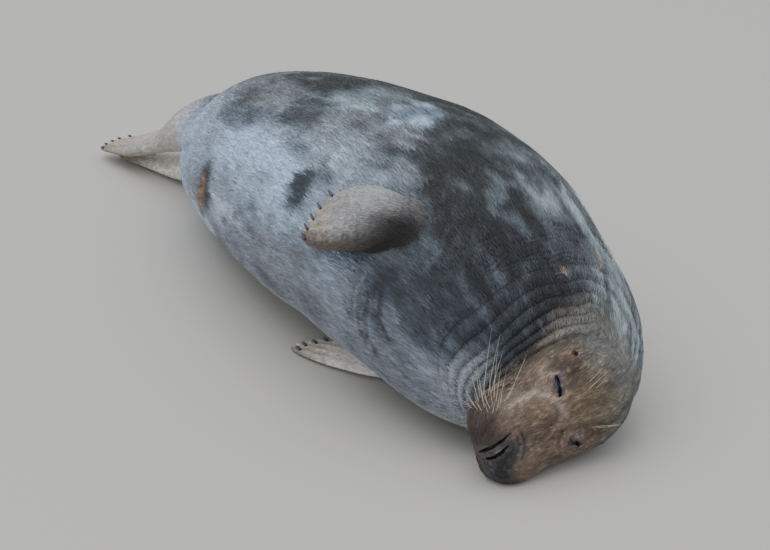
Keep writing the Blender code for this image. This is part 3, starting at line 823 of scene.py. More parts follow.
beside = 1 - fade(claw_gap(clay.points), 0.0015, 0.0060)
clay.points -= clay.normals * (CLAW_SINK * beside)[:, None]
print("points beside claws", int((beside > 0).sum()))

# %% [markdown]
# ### Creases of the body
# Loose skin creases where a limb or the bent trunk pulls at it. Each crease is
# a short groove with a roll at each side, and a low ripple keeps the rest from
# looking turned on a lathe.

# %% Crease the armpit, the belly and the flippers' roots
BODY_CREASES = [
    # path, width, depth
    ([(0.269, -0.128, 0.265), (0.262, -0.140, 0.215), (0.270, -0.138, 0.180),
      (0.292, -0.132, 0.150)], 0.0060, 0.0050),
    ([(0.285, -0.118, 0.290), (0.300, -0.132, 0.235), (0.332, -0.128, 0.190)], 0.0050, 0.0026),
    ([(0.250, -0.120, 0.295), (0.238, -0.135, 0.250), (0.242, -0.140, 0.205)], 0.0050, 0.0022),
    ([(0.302, -0.138, 0.170), (0.360, -0.118, 0.135), (0.410, -0.095, 0.110)], 0.0060, 0.0026),
    ([(-0.385, -0.112, 0.235), (-0.398, -0.117, 0.200), (-0.418, -0.112, 0.160)], 0.0050, 0.0036),
    ([(-0.330, -0.120, 0.250), (-0.345, -0.128, 0.215), (-0.362, -0.126, 0.180)], 0.0060, 0.0012),
    ([(0.310, 0.010, 0.385), (0.345, -0.035, 0.345), (0.345, -0.070, 0.310)], 0.0070, 0.0030),
    ([(0.325, 0.060, 0.390), (0.372, 0.010, 0.345), (0.378, -0.040, 0.300)], 0.0070, 0.0022),
    ([(0.230, 0.050, 0.430), (0.262, 0.028, 0.415), (0.300, 0.010, 0.390)], 0.0060, 0.0022),
    ([(-0.700, 0.055, 0.215), (-0.690, 0.020, 0.170), (-0.705, 0.008, 0.120)], 0.0080, 0.0040),
]
for path, width, depth in BODY_CREASES:
    clay.stroke(path, width, depth)
ripple = ((roughness_at(clay.points, 9, 5) - 0.5) * 0.0040
          + (roughness_at(clay.points, 26, 6) - 0.5) * 0.0012)
on_body = fade(head_distance(clay.points), 0.0, 0.05) * fade(clay.points[:, 2], 0.02, 0.07)
clay.points += clay.normals * (ripple * on_body - 0.0010 * on_body)[:, None]
clay.points[:, 2] = np.maximum(clay.points[:, 2], FLOOR_CLEARANCE * 0.6)
put_points(dense, clay.points)
print("creases", len(BODY_CREASES))

# %% [markdown]
# ### A lighter skin
# The fine skin has far more triangles than its shape needs. Decimate takes
# most from the plain parts and leaves the folds, which a new remesh wouldn't.

# %% Thin the skin where it is plain
SKIN_TRIANGLES = 192000
dense_object = new_object("dense_skin", dense)
triangles = sum(len(p.vertices) - 2 for p in dense.polygons)
thin = dense_object.modifiers.new("thin", "DECIMATE")
thin.ratio = min(1.0, SKIN_TRIANGLES / triangles)
skin_mesh = evaluated_mesh(dense_object)
bpy.data.objects.remove(dense_object)
skin_mesh.name = "skin"
skin_mesh.shade_smooth()
print("skin triangles", sum(len(p.vertices) - 2 for p in skin_mesh.polygons))

# %% [markdown]
# ## Reading the body's own directions
# Hair, markings and streaks follow the body, not the room. So every point of
# the skin is told how far along the spine it lies and how far round, and the
# same for the head and the flippers. A UV unwrap by angles would give less
# even streaks.

# %% Find each point's place along and round the trunk
points, normals = points_of(skin_mesh), normals_of(skin_mesh)


def trunk_place(points):
    """Length from the rump, and degrees from the back (0) over the flank (90) to the belly."""
    low, high = np.zeros(len(points)), np.full(len(points), TRUNK_KNOTS[-1])
    for _ in range(16):
        middle = (low + high) / 2
        x, y, turn = (curve_values(TRUNK_KNOTS, TRUNK[:, i], middle) for i in (0, 1, 5))
        turn = np.radians(turn)
        ahead = (points[:, 0] - x) * np.cos(turn) - (points[:, 1] - y) * np.sin(turn) > 0
        low, high = np.where(ahead, middle, low), np.where(ahead, high, middle)
    x, y, z, depth, height, turn = (curve_values(TRUNK_KNOTS, column, low) for column in TRUNK.T)
    turn = np.radians(turn)
    back = (points[:, 0] - x) * np.sin(turn) + (points[:, 1] - y) * np.cos(turn)
    angle = np.degrees(np.arctan2((points[:, 2] - z) / height, back / depth))
    return low, np.where(angle < -90, angle + 360, angle)


def trunk_point(length, angle):
    """The place on the trunk at a length and an angle."""
    x, y, z, depth, height, turn = (curve_values(TRUNK_KNOTS, c, length) for c in TRUNK.T)
    turn, angle = np.radians(turn), np.radians(angle)
    dorsal = np.stack((np.sin(turn), np.cos(turn), 0 * turn), axis=1)
    return (np.stack((x, y, z), axis=1) + dorsal * (np.cos(angle) * depth)[:, None]
            + UPWARDS * (np.sin(angle) * height)[:, None])


def unit(vectors):
    return vectors / np.maximum(np.linalg.norm(vectors, axis=-1, keepdims=True), 1e-9)


length, angle = trunk_place(points)
HAIR_STEP, USUAL_RADIUS = 0.004, 0.22
further_back = np.maximum(length - HAIR_STEP, 0.0)
lie = unit(trunk_point(further_back, angle) - trunk_point(further_back + HAIR_STEP, angle))
flow = np.stack((length, np.radians(angle) * USUAL_RADIUS, 0 * length), axis=1)
print("trunk", round(float(length.min()), 2), "to", round(float(length.max()), 2), "m")

# %% Find each point's place in the head and flippers
along, up, out = head_place(points)
away = head_distance(points)
on_head = 1 - fade(away, 0.000, 0.008)
head_tone = 1 - fade(away + (along > 0.16) * 0.004, 0.0, 0.012 + 0.05 * fade(along, 0.15, 0.26))
spin = np.arctan2(out, up)
fan = 1.3 * (1 - fade(along, 0.0, 0.05))
radial = unit(HEAD_UP * up[:, None] + HEAD_RIGHT * out[:, None])
head_lie = unit(-HEAD_FORWARD + radial * fan[:, None])
lie = unit(lie * (1 - on_head)[:, None] + head_lie * on_head[:, None])
is_head = on_head > 0.5
HEAD_FLOW, LIMB_FLOW = 3.0, 5.0           # keeps the noise of the parts apart
HEAD_RADIUS, LIMB_FINENESS = 0.085, 2.4
flow[is_head] = np.stack((HEAD_FLOW + along, spin * HEAD_RADIUS, 0 * spin), axis=1)[is_head]

BLADE_REACH = 0.006
limb = np.full(len(points), -1)
share, lane, limb_side = np.zeros(len(points)), np.zeros(len(points)), np.zeros(len(points))
limb_gap = np.full(len(points), FAR)
for number, (name, blade) in enumerate(blades.items()):
    grids = [blade.sheet(110, 90, side) for side in (1, -1)]
    sheet = np.concatenate([grid[0].reshape(-1, 3) for grid in grids])
    distances = np.concatenate([grid[1].ravel() for grid in grids])
    lanes = np.concatenate([grid[2].ravel() for grid in grids])
    close = np.where(((points > sheet.min(0) - 0.012) & (points < sheet.max(0) + 0.012)).all(1))[0]
    tree = tree_of(sheet)
    found = [tree.find(p)[1:] for p in points[close]]
    index, gap = np.array([f[0] for f in found]), np.array([f[1] for f in found])
    won = gap < np.minimum(BLADE_REACH, limb_gap[close])
    close, index, gap = close[won], index[won], gap[won]
    limb[close], limb_gap[close] = number, gap
    share[close], lane[close] = distances[index] / blade.length, lanes[index]
    limb_side[close] = np.where(index < len(sheet) // 2, 1, -1)
    lie[close] = blade.axes(distances[index])[0]
    across = lanes[index] * blade.value(3, distances[index]) / 2
    course = np.stack((LIMB_FLOW + number + distances[index], across, 0 * across), axis=1)
    flow[close] = LIMB_FINENESS * course
tail_place = (points - TAIL_ROOT) @ TAIL_WAY
tail_gap = np.linalg.norm(points - TAIL_ROOT - tail_place[:, None] * TAIL_WAY, axis=1)
on_tail = (tail_place > 0.030) & (tail_gap < 0.034) & (limb < 0)
lie[on_tail] = TAIL_WAY
is_limb = limb >= 0
limb_core = is_limb * fade(share, 0.10, 0.34)
print("head", int(is_head.sum()), "flippers", int(is_limb.sum()), "points")

# %% [markdown]
# ### The lie of the hair
# Hair never turns sharply where one part meets the next, so the ways found
# above are averaged over neighbouring points and laid flat on the skin.

# %% Smooth the lie of the hair over the skin
skin_edges = edges_of(skin_mesh)
lie = smoothed(lie, skin_edges, np.full(len(points), 0.6), 6)
lie = unit(lie - normals * (lie * normals).sum(1)[:, None])
print("lie of the hair set")

# %% [markdown]
# ## Markings
# A grey seal cow is dark grey and olive along the back and paler on the flank and
# belly, with ragged blotches, and her wet coat shines silvery on the flank, a sheen
# partly painted into the colour. Sand and sea dry to brown on the face. The markings
# are washes and dabs laid in the body's own directions, and each point keeps one
# colour, which the skin and the coat both read. Some washes are painted shade and
# painted light, each marked where it is laid.

# %% Paint tools
LIGHT_GAIN, DARKEST, BRIGHTEST = 1.22, 0.002, 0.92


def tone(red, green, blue):
    """A colour from its familiar 0 to 255 numbers, as amounts of light."""
    c = np.array((red, green, blue)) / 255
    return LIGHT_GAIN * np.where(c <= 0.04045, c / 12.92, ((c + 0.055) / 1.055) ** 2.4)


streaky = flow * np.array((0.5, 1.0, 1.0))
patchy = 0.55 * roughness_at(streaky, 30, 1) + 0.45 * roughness_at(streaky, 75, 2)
ragged = 0.4 * roughness_at(streaky, 16, 3) + 0.35 * roughness_at(streaky, 42, 4) \
    + 0.25 * roughness_at(streaky, 105, 5)
speckle = roughness_at(flow * np.array((0.6, 1.0, 1.0)), 170, 6)
tint = np.tile(tone(118, 122, 128), (len(points), 1))
wet = np.zeros(len(points))


def wash(colour, mask):
    """Lay a colour over the skin by a mask from 0 to 1."""
    tint[:] += (np.asarray(colour) - tint) * np.clip(mask, 0, 1)[:, None]


def cap_tint():
    """Darken what is too bright for hair, and keep its hue."""
    tint[:] *= np.minimum(1, BRIGHTEST / tint.max(axis=1))[:, None]


def blotch(at_length, at_angle, half_length, half_angle, strength, soft=0.45):
    """A ragged patch on the trunk: its middle, its half sizes in metres and degrees."""
    gap = np.hypot((length - at_length) / half_length, (angle - at_angle) / half_angle)
    gap = gap + (ragged - 0.5) * 2.2
    return strength * (1 - fade(gap, 1 - soft, 1 + soft * 0.6))


def dab(centre, radius, strength, soft=0.6):
    """A ragged round patch about a place, by its radius in metres."""
    gap = np.linalg.norm(points - centre, axis=1) / radius + (ragged - 0.5) * 0.9
    return strength * (1 - fade(gap, 1 - soft, 1 + soft))


skin_tree = tree_of(points)


def pen(path, width, strength):
    """A soft line along a path laid on the skin."""
    path = np.array(path)
    knots = knots_of(path)
    fine = np.linspace(0, knots[-1], 5 * (len(path) - 1) + 1)
    bent = np.stack([curve_values(knots, path[:, i], fine) for i in range(3)], axis=1)
    laid = points[[skin_tree.find(p)[1] for p in bent]]
    mask = np.zeros(len(points))
    near = np.where(((points > laid.min(0) - 3 * width)
                     & (points < laid.max(0) + 3 * width)).all(1))[0]
    gap = path_gap(points[near], laid)[0]
    mask[near] = strength * np.exp(-(gap / width) ** 2)
    return mask


print("mean raggedness", round(float(ragged.mean()), 2))

# %% Wash the trunk from the dark back to the pale belly
bend = angle + (ragged - 0.5) * 46 + (roughness_at(streaky, 7, 9) - 0.5) * 26
wash(tone(55, 59, 60), 1 - fade(bend, 74, 116))
wash(tone(128, 138, 149), fade(bend, 100, 128) * (1 - fade(bend, 158, 186)))
wash(tone(124, 128, 136), fade(bend, 156, 190))
wash(tone(150, 149, 148), fade(angle, 205, 232))
wash(tone(154, 168, 188), (1 - fade(length, 0.16, 0.40)) * fade(bend, 112, 146) * 0.8)
PATCHES_AND_SHEEN = [
    # colour, (length, angle, half length, half angle, strength, softness)
    # the first two are pale coat with a painted silver sheen of wet hair on the upper flank
    ((165, 180, 199), (0.54, 147, 0.21, 17, 0.75, 0.7)),
    ((183, 203, 224), (0.58, 143, 0.13, 9, 0.7, 0.6)),
    ((175, 188, 204), (0.50, 176, 0.12, 13, 0.6)),
    ((176, 186, 197), (0.36, 196, 0.09, 12, 0.7)),
    ((76, 84, 90), (0.41, 133, 0.08, 9, 0.75)),
    ((84, 92, 98), (0.59, 117, 0.05, 7, 0.55)),
    ((160, 177, 192), (0.80, 92, 0.06, 14, 0.85)),
    ((160, 174, 184), (0.70, 101, 0.07, 7, 0.6)),
    ((128, 140, 148), (0.66, 84, 0.07, 12, 0.6)),
    ((132, 143, 152), (0.63, 104, 0.06, 9, 0.6)),
    ((140, 150, 160), (0.83, 122, 0.07, 12, 0.5)),
    ((110, 120, 126), (0.30, 98, 0.06, 10, 0.6)),
    ((112, 122, 130), (0.96, 66, 0.05, 9, 0.5))]
for colour, spot in PATCHES_AND_SHEEN:
    wash(tone(*colour), blotch(*spot))
print("pale and dark patches", len(PATCHES_AND_SHEEN))

# %% Lay the dark blotches
DARK, CHARCOAL = tone(42, 46, 48), tone(30, 31, 33)
BLOTCHES = [
    # length, angle, half length, half angle, strength
    (0.55, 85, 0.075, 13, 0.85), (0.40, 92, 0.065, 8, 0.65), (0.46, 78, 0.08, 9, 0.3),
    (0.84, 72, 0.055, 7, 0.75), (0.73, 66, 0.06, 7, 0.6), (0.62, 119, 0.060, 11, 0.55),
    (0.70, 132, 0.050, 6, 0.45), (0.50, 128, 0.060, 5, 0.35), (0.78, 110, 0.035, 6, 0.4),
    (0.94, 100, 0.075, 15, 0.65), (0.92, 74, 0.045, 8, 0.55), (0.88, 118, 0.045, 9, 0.4),
    (0.55, 183, 0.018, 5, 0.5), (0.60, 176, 0.013, 4, 0.4), (0.66, 166, 0.010, 3, 0.5),
    (0.36, 118, 0.05, 6, 0.3), (0.30, 60, 0.09, 15, 0.5), (0.60, 40, 0.10, 18, 0.6),
    (0.85, 28, 0.10, 16, 0.6), (0.42, 20, 0.09, 18, 0.5), (0.75, -10, 0.12, 20, 0.6),
    (0.50, -40, 0.10, 18, 0.6), (0.98, -30, 0.10, 20, 0.6), (0.30, -20, 0.08, 16, 0.5),
    (0.70, 205, 0.05, 10, 0.35), (0.88, 196, 0.05, 9, 0.3), (0.48, 212, 0.05, 10, 0.3),
    (1.03, 104, 0.06, 10, 0.6), (0.86, 172, 0.05, 7, 0.25), (0.97, 128, 0.06, 8, 0.4)]
for spot in BLOTCHES:
    wash(DARK, blotch(*spot))
wash(tone(48, 53, 58), blotch(0.785, 146, 0.028, 8.5, 0.95, 0.35))
wash(tone(64, 68, 72), blotch(0.815, 137, 0.030, 4, 0.6))
print("blotches", len(BLOTCHES))

# %% Darken the shoulder and speckle the back
shoulder = fade(length + (ragged - 0.5) * 0.16, 0.93, 1.10)
shoulder *= 1 - 0.9 * fade(bend, 146, 182)
wash(tone(46, 48, 52), 0.92 * shoulder)
wash(CHARCOAL, shoulder * fade(patchy, 0.50, 0.72) * 0.8 * fade(bend, 30, 60))
wash(tone(84, 91, 98), shoulder * (1 - fade(patchy, 0.30, 0.44)) * 0.6)
wash(tone(46, 49, 50), fade(patchy, 0.52, 0.66) * (1 - fade(bend, 84, 132)) * 0.6)
wash(tone(96, 103, 106), (1 - fade(patchy, 0.30, 0.44)) * (1 - fade(bend, 84, 130)) * 0.5)
wash(tone(84, 90, 98), fade(patchy, 0.58, 0.70) * fade(bend, 120, 150) * 0.35)
print("shoulder points", int((shoulder > 0.5).sum()))

# %% Tint the neck, the rear and the scars
rim_zone = fade(length, 1.20, 1.30) * (1 - fade(angle, 38, 75))
wash(tone(116, 121, 122), 0.80 * rim_zone * fade(patchy, 0.30, 0.50) * fade(bend, -15, 20))
# Grey coat along the top of the shoulders, made paler with painted light on the lit top edge.
wash(tone(156, 167, 172), 0.80 * fade(length, 0.90, 1.05) * (1 - fade(bend, 46, 67))
     * (1 - 0.6 * fade(length, 1.16, 1.26)) * fade(bend, -10, 22) * fade(patchy, 0.34, 0.50))
wash(tone(112, 112, 109), 0.7 * fade(away, 0.012, 0.03) * (1 - fade(away, 0.08, 0.14))
     * fade(up, 0.02, 0.09))
# Painted light: the low throat is made paler, as if strongly lit.
lit_low_throat = (1 - fade(away, 0.05, 0.11)) * (1 - fade(up, -0.064, -0.040))
wash(tone(128, 131, 136), 0.85 * lit_low_throat * (1 - fade(out, 0.10, 0.15)))
genital = [(-0.376, -0.110, 0.252), (-0.394, -0.117, 0.205), (-0.416, -0.109, 0.152)]
wash(tone(64, 62, 66), blotch(0.432, 175, 0.052, 15, 0.95, 0.5))
wash(tone(44, 41, 42), pen(genital, 0.022, 0.8))
wash(tone(146, 124, 104), pen([(-0.386, -0.114, 0.228), (-0.400, -0.117, 0.195),
                               (-0.414, -0.110, 0.160)], 0.0125, 0.95))
# Painted shade along the first two creases, at the armpit.
for path, _, _ in BODY_CREASES[:2]:
    wash(tone(48, 47, 50), pen(path, 0.009, 0.75))
SCARS = ((0.401, 0.228, 0.321), (0.406, 0.254, 0.303), (0.424, 0.249, 0.292),
         (0.441, 0.165, 0.305))
for place in SCARS:
    wash(tone(140, 126, 110), dab(np.array(place), 0.006, 0.7))
wash(tone(60, 63, 70), dab(np.array((-0.045, -0.060, 0.390)), 0.010, 0.3))
wash(tone(60, 62, 66), dab(np.array((0.385, 0.210, 0.335)), 0.060, 0.75))
MIDDLE_GREY, CONTRAST = 0.165, 1.30
tint[:] = MIDDLE_GREY * (tint / MIDDLE_GREY) ** CONTRAST
cap_tint()
warm = 1 - fade(points[:, 2], 0.015, 0.075)
wash(tone(150, 144, 134), 0.35 * warm * (1 - limb_core))
print("neck and rear tinted")

# %% [markdown]
# ### The face
# Dried sand and sea leave the face brown, with a black nose pad, dark dots at
# the whiskers' roots and tear streaks. The whiskers' rows are set here, so that
# the dots and the hairs that grow from them later share their places.

# %% Wash the head and dot the whiskers' roots
ROWS, COLUMNS = 5, 6
WHISKER_ROOTS = [in_head(0.016 + 0.0075 * column + 0.002 * row, -0.012 + 0.0125 * row,
                         (0.072 + 0.010 * (column > 1)) * side - (0.010 if side < 0 else 0))
                 for side in (1, -1) for row in range(ROWS) for column in range(COLUMNS)]
wash(tone(104, 94, 82), head_tone * (1 - limb_core))
wash(tone(96, 97, 94), head_tone * fade(along, 0.17, 0.26))
wash(tone(118, 101, 88), on_head * (1 - fade(along, 0.13, 0.21)))
wash(tone(96, 76, 62), on_head * dab(in_head(0.135, 0.075, -0.035), 0.080, 0.5))
wash(tone(104, 90, 70), on_head * dab(in_head(0.205, 0.076, 0.020), 0.045, 0.6))
wash(tone(84, 84, 84), on_head * (1 - fade(up, -0.045, 0.012)) * fade(along, 0.07, 0.13))
wash(tone(140, 124, 106), on_head * fade(patchy, 0.52, 0.70) * 0.32)
wash(tone(56, 48, 44), on_head * (1 - fade(patchy, 0.30, 0.46)) * 0.45)
wash(tone(56, 43, 37), dab(in_head(0.196, 0.048, 0.084), 0.036, 0.85))
wash(tone(68, 53, 45), dab(in_head(0.172, 0.056, 0.070), 0.026, 0.75))
wash(tone(118, 92, 78), dab(in_head(0.206, 0.038, 0.095), 0.013, 0.7))
# Pale hair with a painted highlight along the ridge behind the whisker pads.
wash(tone(170, 160, 148), pen([in_head(0.061, 0.052, 0.075), in_head(0.108, 0.052, 0.072),
                               in_head(0.139, 0.064, 0.041), in_head(0.147, 0.068, 0.008)],
                              0.006, 0.5))
for side in (1, -1):
    pad = in_head(0.028, 0.014, 0.070 * side - (0.008 if side < 0 else 0))
    wash(tone(62, 52, 48), dab(pad, 0.034, 0.6))
wash(tone(54, 47, 45), on_head * (1 - fade(along + (ragged - 0.5) * 0.02, 0.010, 0.040)) * 0.75)
wash(tone(44, 38, 38), dab(in_head(0.006, 0.018, 0.020), 0.026, 0.6))
for root in WHISKER_ROOTS:
    wash(tone(44, 34, 30), dab(root, 0.0030, 0.75, 0.5))
print("whisker roots", len(WHISKER_ROOTS))

# %% Paint the nose, the nostrils and the mouth
nose_pad = np.maximum(dab(NOSE_MIDDLE, 0.036, 1.0, 0.3),
                      dab(in_head(0.024, 0.050, -0.004), 0.021, 1.0, 0.4))
wash(tone(8, 8, 10), nose_pad * 0.98)
# Painted sheen: bluish patches on the black pad stand for its wet shine.
nose_sheen_noise = roughness_at(points, 150, 16)
wash(tone(62, 68, 86), nose_pad * fade(nose_sheen_noise, 0.58, 0.72) * 0.45)
# Paler skin on the ridge between the nostrils, with a painted highlight.
wash(tone(104, 92, 84), dab(in_head(0.014, 0.040, 0.004), 0.010, 0.6))
wet += 0.6 * nose_pad
for path in WET_CREASES:
    wash(tone(36, 36, 42), pen(path, 0.0036, 0.9))
    wet += pen(path, 0.006, 0.7)
for path in NOSTRILS.values():
    wash(tone(92, 84, 80), pen(path, 0.0065, 0.45))
    # Painted shade: the opening of each slit is near black.
    wash(tone(12, 12, 14), pen(path, 0.0026, 1.0))
# Painted shade: the mouth's groove is darkened along its line.
for path in MOUTH_LINES.values():
    wash(tone(52, 38, 32), pen(path, 0.0050, 0.75))
NICKS = ((0.130, 0.066, -0.018), (0.108, 0.064, -0.018), (0.081, 0.061, -0.008),
         (0.095, 0.062, -0.030))
for behind, above, aside in NICKS:
    nick = [in_head(behind, above, aside), in_head(behind + 0.008, above, aside - 0.006)]
    wash(tone(48, 42, 40), pen(nick, 0.0022, 0.8))
print("face painted")

# %% Paint the lids, the ears and the tear streaks
for side, eye in lid_frames.items():
    middle, _, _, outwards = eye
    a, b, opening = lid_place(points, eye)
    close = np.abs((points - middle) @ outwards) < 0.02
    round_eye = np.hypot(0.75 * a, b)
    wash(tone(122, 106, 100), 0.5 * np.exp(-((round_eye - 0.015) / 0.007) ** 2) * close)
    lid = np.exp(-(b / 0.0078) ** 4) * (1 - fade(np.abs(a), 0.016, 0.024)) * close
    wash(tone(58, 63, 78) if side == "right" else tone(40, 36, 38), 0.92 * lid)
    # Painted shade: the skin along the slit is made near black, as the narrow gap would be.
    wash(tone(20, 22, 32), fade(opening + 0.0012 - np.abs(b), 0, 0.0012) * close
         * (np.abs(a) < LID_HALF))
    wet += lid * 0.7
    crust = np.exp(-((np.hypot(a, b) - 0.0215) / 0.0030) ** 2) * fade(speckle, 0.56, 0.66)
    wash(tone(180, 158, 130), 0.6 * crust * close * fade(np.abs(a), 0.008, 0.017))
for side, place in EARS.items():
    wash(tone(96, 74, 64), dab(place, 0.0140, 0.6))
    rear = in_head(0.2220, 0.042, 0.088 if side == "right" else -0.099)
    wash(tone(160, 134, 118), pen([rear + HEAD_UP * 0.006, rear, rear - HEAD_UP * 0.004],
                                  0.0015, 0.7))
    # Painted shade: the ear hole is near black inside.
    wash(tone(8, 7, 8), dab(place, 0.0062, 1.0, 0.3))
    wet += dab(place, 0.008, 0.5)
print("lids and ears painted")

# %% Paint shade into the valleys and light onto the ridges
# Painted shade and painted light: the neck's rolls, the wrinkles and every hollow are darkened, and
# the ridges lightened, as light would fall on them.
tint *= (1 + np.clip(fold_height(points) / 0.0044, -0.42, 0.30))[:, None]
tint *= (1 - 0.5 * wrinkles(points))[:, None]
rounded = smoothed(points, skin_edges, np.full(len(points), 0.6), 5)
cavity = ((rounded - points) * normals).sum(1)
cavity = smoothed(cavity[:, None].repeat(3, 1), skin_edges, np.full(len(points), 0.5), 1)[:, 0]
tint *= (1 - 0.62 * fade(cavity, 0.00005, 0.0007))[:, None]
tint *= (1 + 0.40 * fade(-cavity, 0.00005, 0.0006) * (1 - wet.clip(0, 1)))[:, None]
print("valleys", int((cavity > 0.0003).sum()), "ridges", int((cavity < -0.0003).sum()))

# %% [markdown]
# ### The flippers' markings
# The flippers are paler than the body, darker between the digits, and darker brown
# along the lower edge. Each keeps its own colour, by how wet and sandy it is; the two
# left ones, which lie low and get less light, are also painted brighter, which is
# painted light, and the raised one has painted shade at its root.

# %% Paint the flippers
TAUPE, CREAM, BROWN = tone(152, 151, 153), tone(176, 164, 146), tone(56, 44, 36)
# The left flippers lie low and get less light, so their pale is painted brighter: painted light.
PALE_AND_PAINTED_LIGHT = {"foreflipper_right": TAUPE, "foreflipper_left": tone(255, 251, 244),
        "hindflipper_right": tone(192, 188, 182), "hindflipper_left": tone(234, 229, 220)}
grain = 0.5 * roughness_at(flow, 60, 12) + 0.5 * roughness_at(flow, 130, 13)
for number, name in enumerate(blades):
    here = (limb == number).astype(float)
    front = name.startswith("fore")
    raised = name == "foreflipper_right"
    wash(PALE_AND_PAINTED_LIGHT[name], here * fade(share, 0.10, 0.36))
    if not front:
        behind = fade(normals[:, 1], -0.1, 0.6) * (1 - fade(share, 0.25, 0.62))
        wash(tone(78, 80, 80), here * behind * 0.85)
    wash(tone(112, 106, 102), here * fade(grain, 0.5, 0.75) * 0.35 * fade(share, 0.2, 0.4))
    wash(CREAM, here * fade(share, 0.62, 0.95) * 0.75)
    low_edge = fade(lane + (grain - 0.5) * 0.5, 0.21, 0.87) * fade(share, 0.2, 0.4)
    wash(BROWN, here * low_edge * (0.9 if raised else 0.22))
    if raised:
        wash(tone(46, 45, 47), here * (1 - fade(share, 0.14, 0.46)) * 0.85)
        # Painted shade where the raised flipper's root meets the body.
        root_shade = (1 - fade(share, 0.30, 0.66)) * fade(lane, -0.6, 0.25)
        wash(tone(15, 11, 9), here * root_shade * 0.97)
    elif front:
        wash(tone(92, 88, 86), here * (1 - fade(share, 0.20, 0.50)) * 0.8)
    tips = fade(share, 0.86, 1.0)
    wash(tone(220, 208, 188), here * tips * 0.75 * (1 - low_edge))
    wash(tone(92, 66, 46), here * tips * low_edge * 0.8)
    gap_lane = 0.5 + 0.5 * np.cos(np.pi * (1 - lane) * DIGITS)
    wash(tone(96, 84, 74), here * gap_lane * fade(share, 0.55, 0.9) * 0.45)
wash(tone(120, 122, 124), on_tail * 0.6)
print("flippers painted")

# %% Add speckle and grit, and keep the tint in range
tint *= (0.72 + 0.56 * speckle)[:, None]
grit = roughness_at(points, 240, 15)
tint *= (1 + on_head * (grit - 0.5) * 0.7)[:, None]
wash(tone(176, 156, 132), on_head * fade(grit, 0.72, 0.82) * 0.35 * fade(along, 0.04, 0.08)
     * (1 - fade(along, 0.22, 0.28)))
cap_tint()
tint = np.maximum(tint, DARKEST)
print("tint from", tint.min(0).round(3), "to", tint.max(0).round(3))

# %% [markdown]
# ## Writing the facts on the skin
# A mesh can carry values on its points. The skin keeps its colour, its wetness,
# the lie and size of its hair, and three charts, and Geometry Nodes and the
# materials read them by name. Hair is longest on the body and shortest on the
# face and flippers. None grows on the lids, on the nose pad, close to the claws
# or where the skin touches the floor.

# %% Set the size of the hair and where it grows
HAIR = {
    # length, width and height of one tuft
    "body": (0.0160, 0.0016, 0.0009), "neck": (0.0115, 0.0014, 0.0008),
    "head": (0.0085, 0.0012, 0.0006), "face": (0.0060, 0.0010, 0.0005),
    "limb": (0.0055, 0.0011, 0.0004)}
BARE_LID = (0.022, 0.0065)                # half sizes of the hairless lid
hair_size = np.tile(np.array(HAIR["body"]), (len(points), 1))
for place, mask in (("neck", fade(length, 1.15, 1.30)), ("head", on_head),
                    ("face", on_head * (1 - fade(along, 0.10, 0.30))),
                    ("limb", is_limb * fade(share, 0.05, 0.40))):
    hair_size += (np.array(HAIR[place]) - hair_size) * mask[:, None]

growth = np.ones(len(points))
growth *= 1 - np.clip(1.6 * nose_pad, 0, 1)
for middle, way, across, _ in lid_frames.values():
    offset = points - middle
    growth *= 1 - (np.hypot(offset @ way / BARE_LID[0], offset @ across / BARE_LID[1]) < 1)
for path in NOSTRILS.values():
    growth *= 1 - (pen(path, 0.004, 1.0) > 0.3)
for place in EARS.values():
    growth *= np.linalg.norm(points - place, axis=1) > 0.0050
growth *= fade(claw_gap(points), 0.0030, 0.0060)
growth *= fade(points[:, 2], 0.003, 0.008)
growth *= 1 - 0.85 * (is_limb * fade(share, 0.90, 0.97))
print("bald points", int((growth < 0.5).sum()))

# %% Chart the trunk, the head and the limbs
trunk_chart = np.stack((length, (angle + 90) / 360, 0 * length), axis=1)
head_chart = np.stack((along, (spin + np.pi) / (2 * np.pi), 0 * along), axis=1)
cell = np.maximum(limb, 0) * 2 + (limb_side > 0)
limb_chart = np.stack(((cell % 3 + 0.06 + 0.88 * np.clip(share, 0, 1)) / 3,
                       (cell // 3 + 0.06 + 0.44 * (1 + np.clip(lane, -1, 1))) / 3,
                       0 * share), axis=1)
TAIL_CELL = 8                             # the last of nine, after two for each flipper
tail_cell = np.stack((TAIL_CELL % 3 + 0.06 + 7.0 * np.clip(tail_place, 0, 0.12),
                      TAIL_CELL // 3 + 0.5 + 12.0 * (points[:, 1] - 0.21), 0 * share), axis=1) / 3
limb_chart[on_tail] = tail_cell[on_tail]
print("limb chart from", limb_chart.min(0).round(2), "to", limb_chart.max(0).round(2))


# %% Store them
def store(mesh, name, values):
    """Keep one number, vector or colour for each point of a mesh."""
    if values.ndim == 1:
        layer = mesh.attributes.new(name, "FLOAT", "POINT")
        layer.data.foreach_set("value", values.astype(np.float32))
    elif name == "tint":
        layer = mesh.attributes.new(name, "FLOAT_COLOR", "POINT")
        four = np.concatenate((values, np.ones((len(values), 1))), axis=1)
        layer.data.foreach_set("color", four.astype(np.float32).ravel())
    else:
        layer = mesh.attributes.new(name, "FLOAT_VECTOR", "POINT")
        layer.data.foreach_set("vector", values.astype(np.float32).ravel())


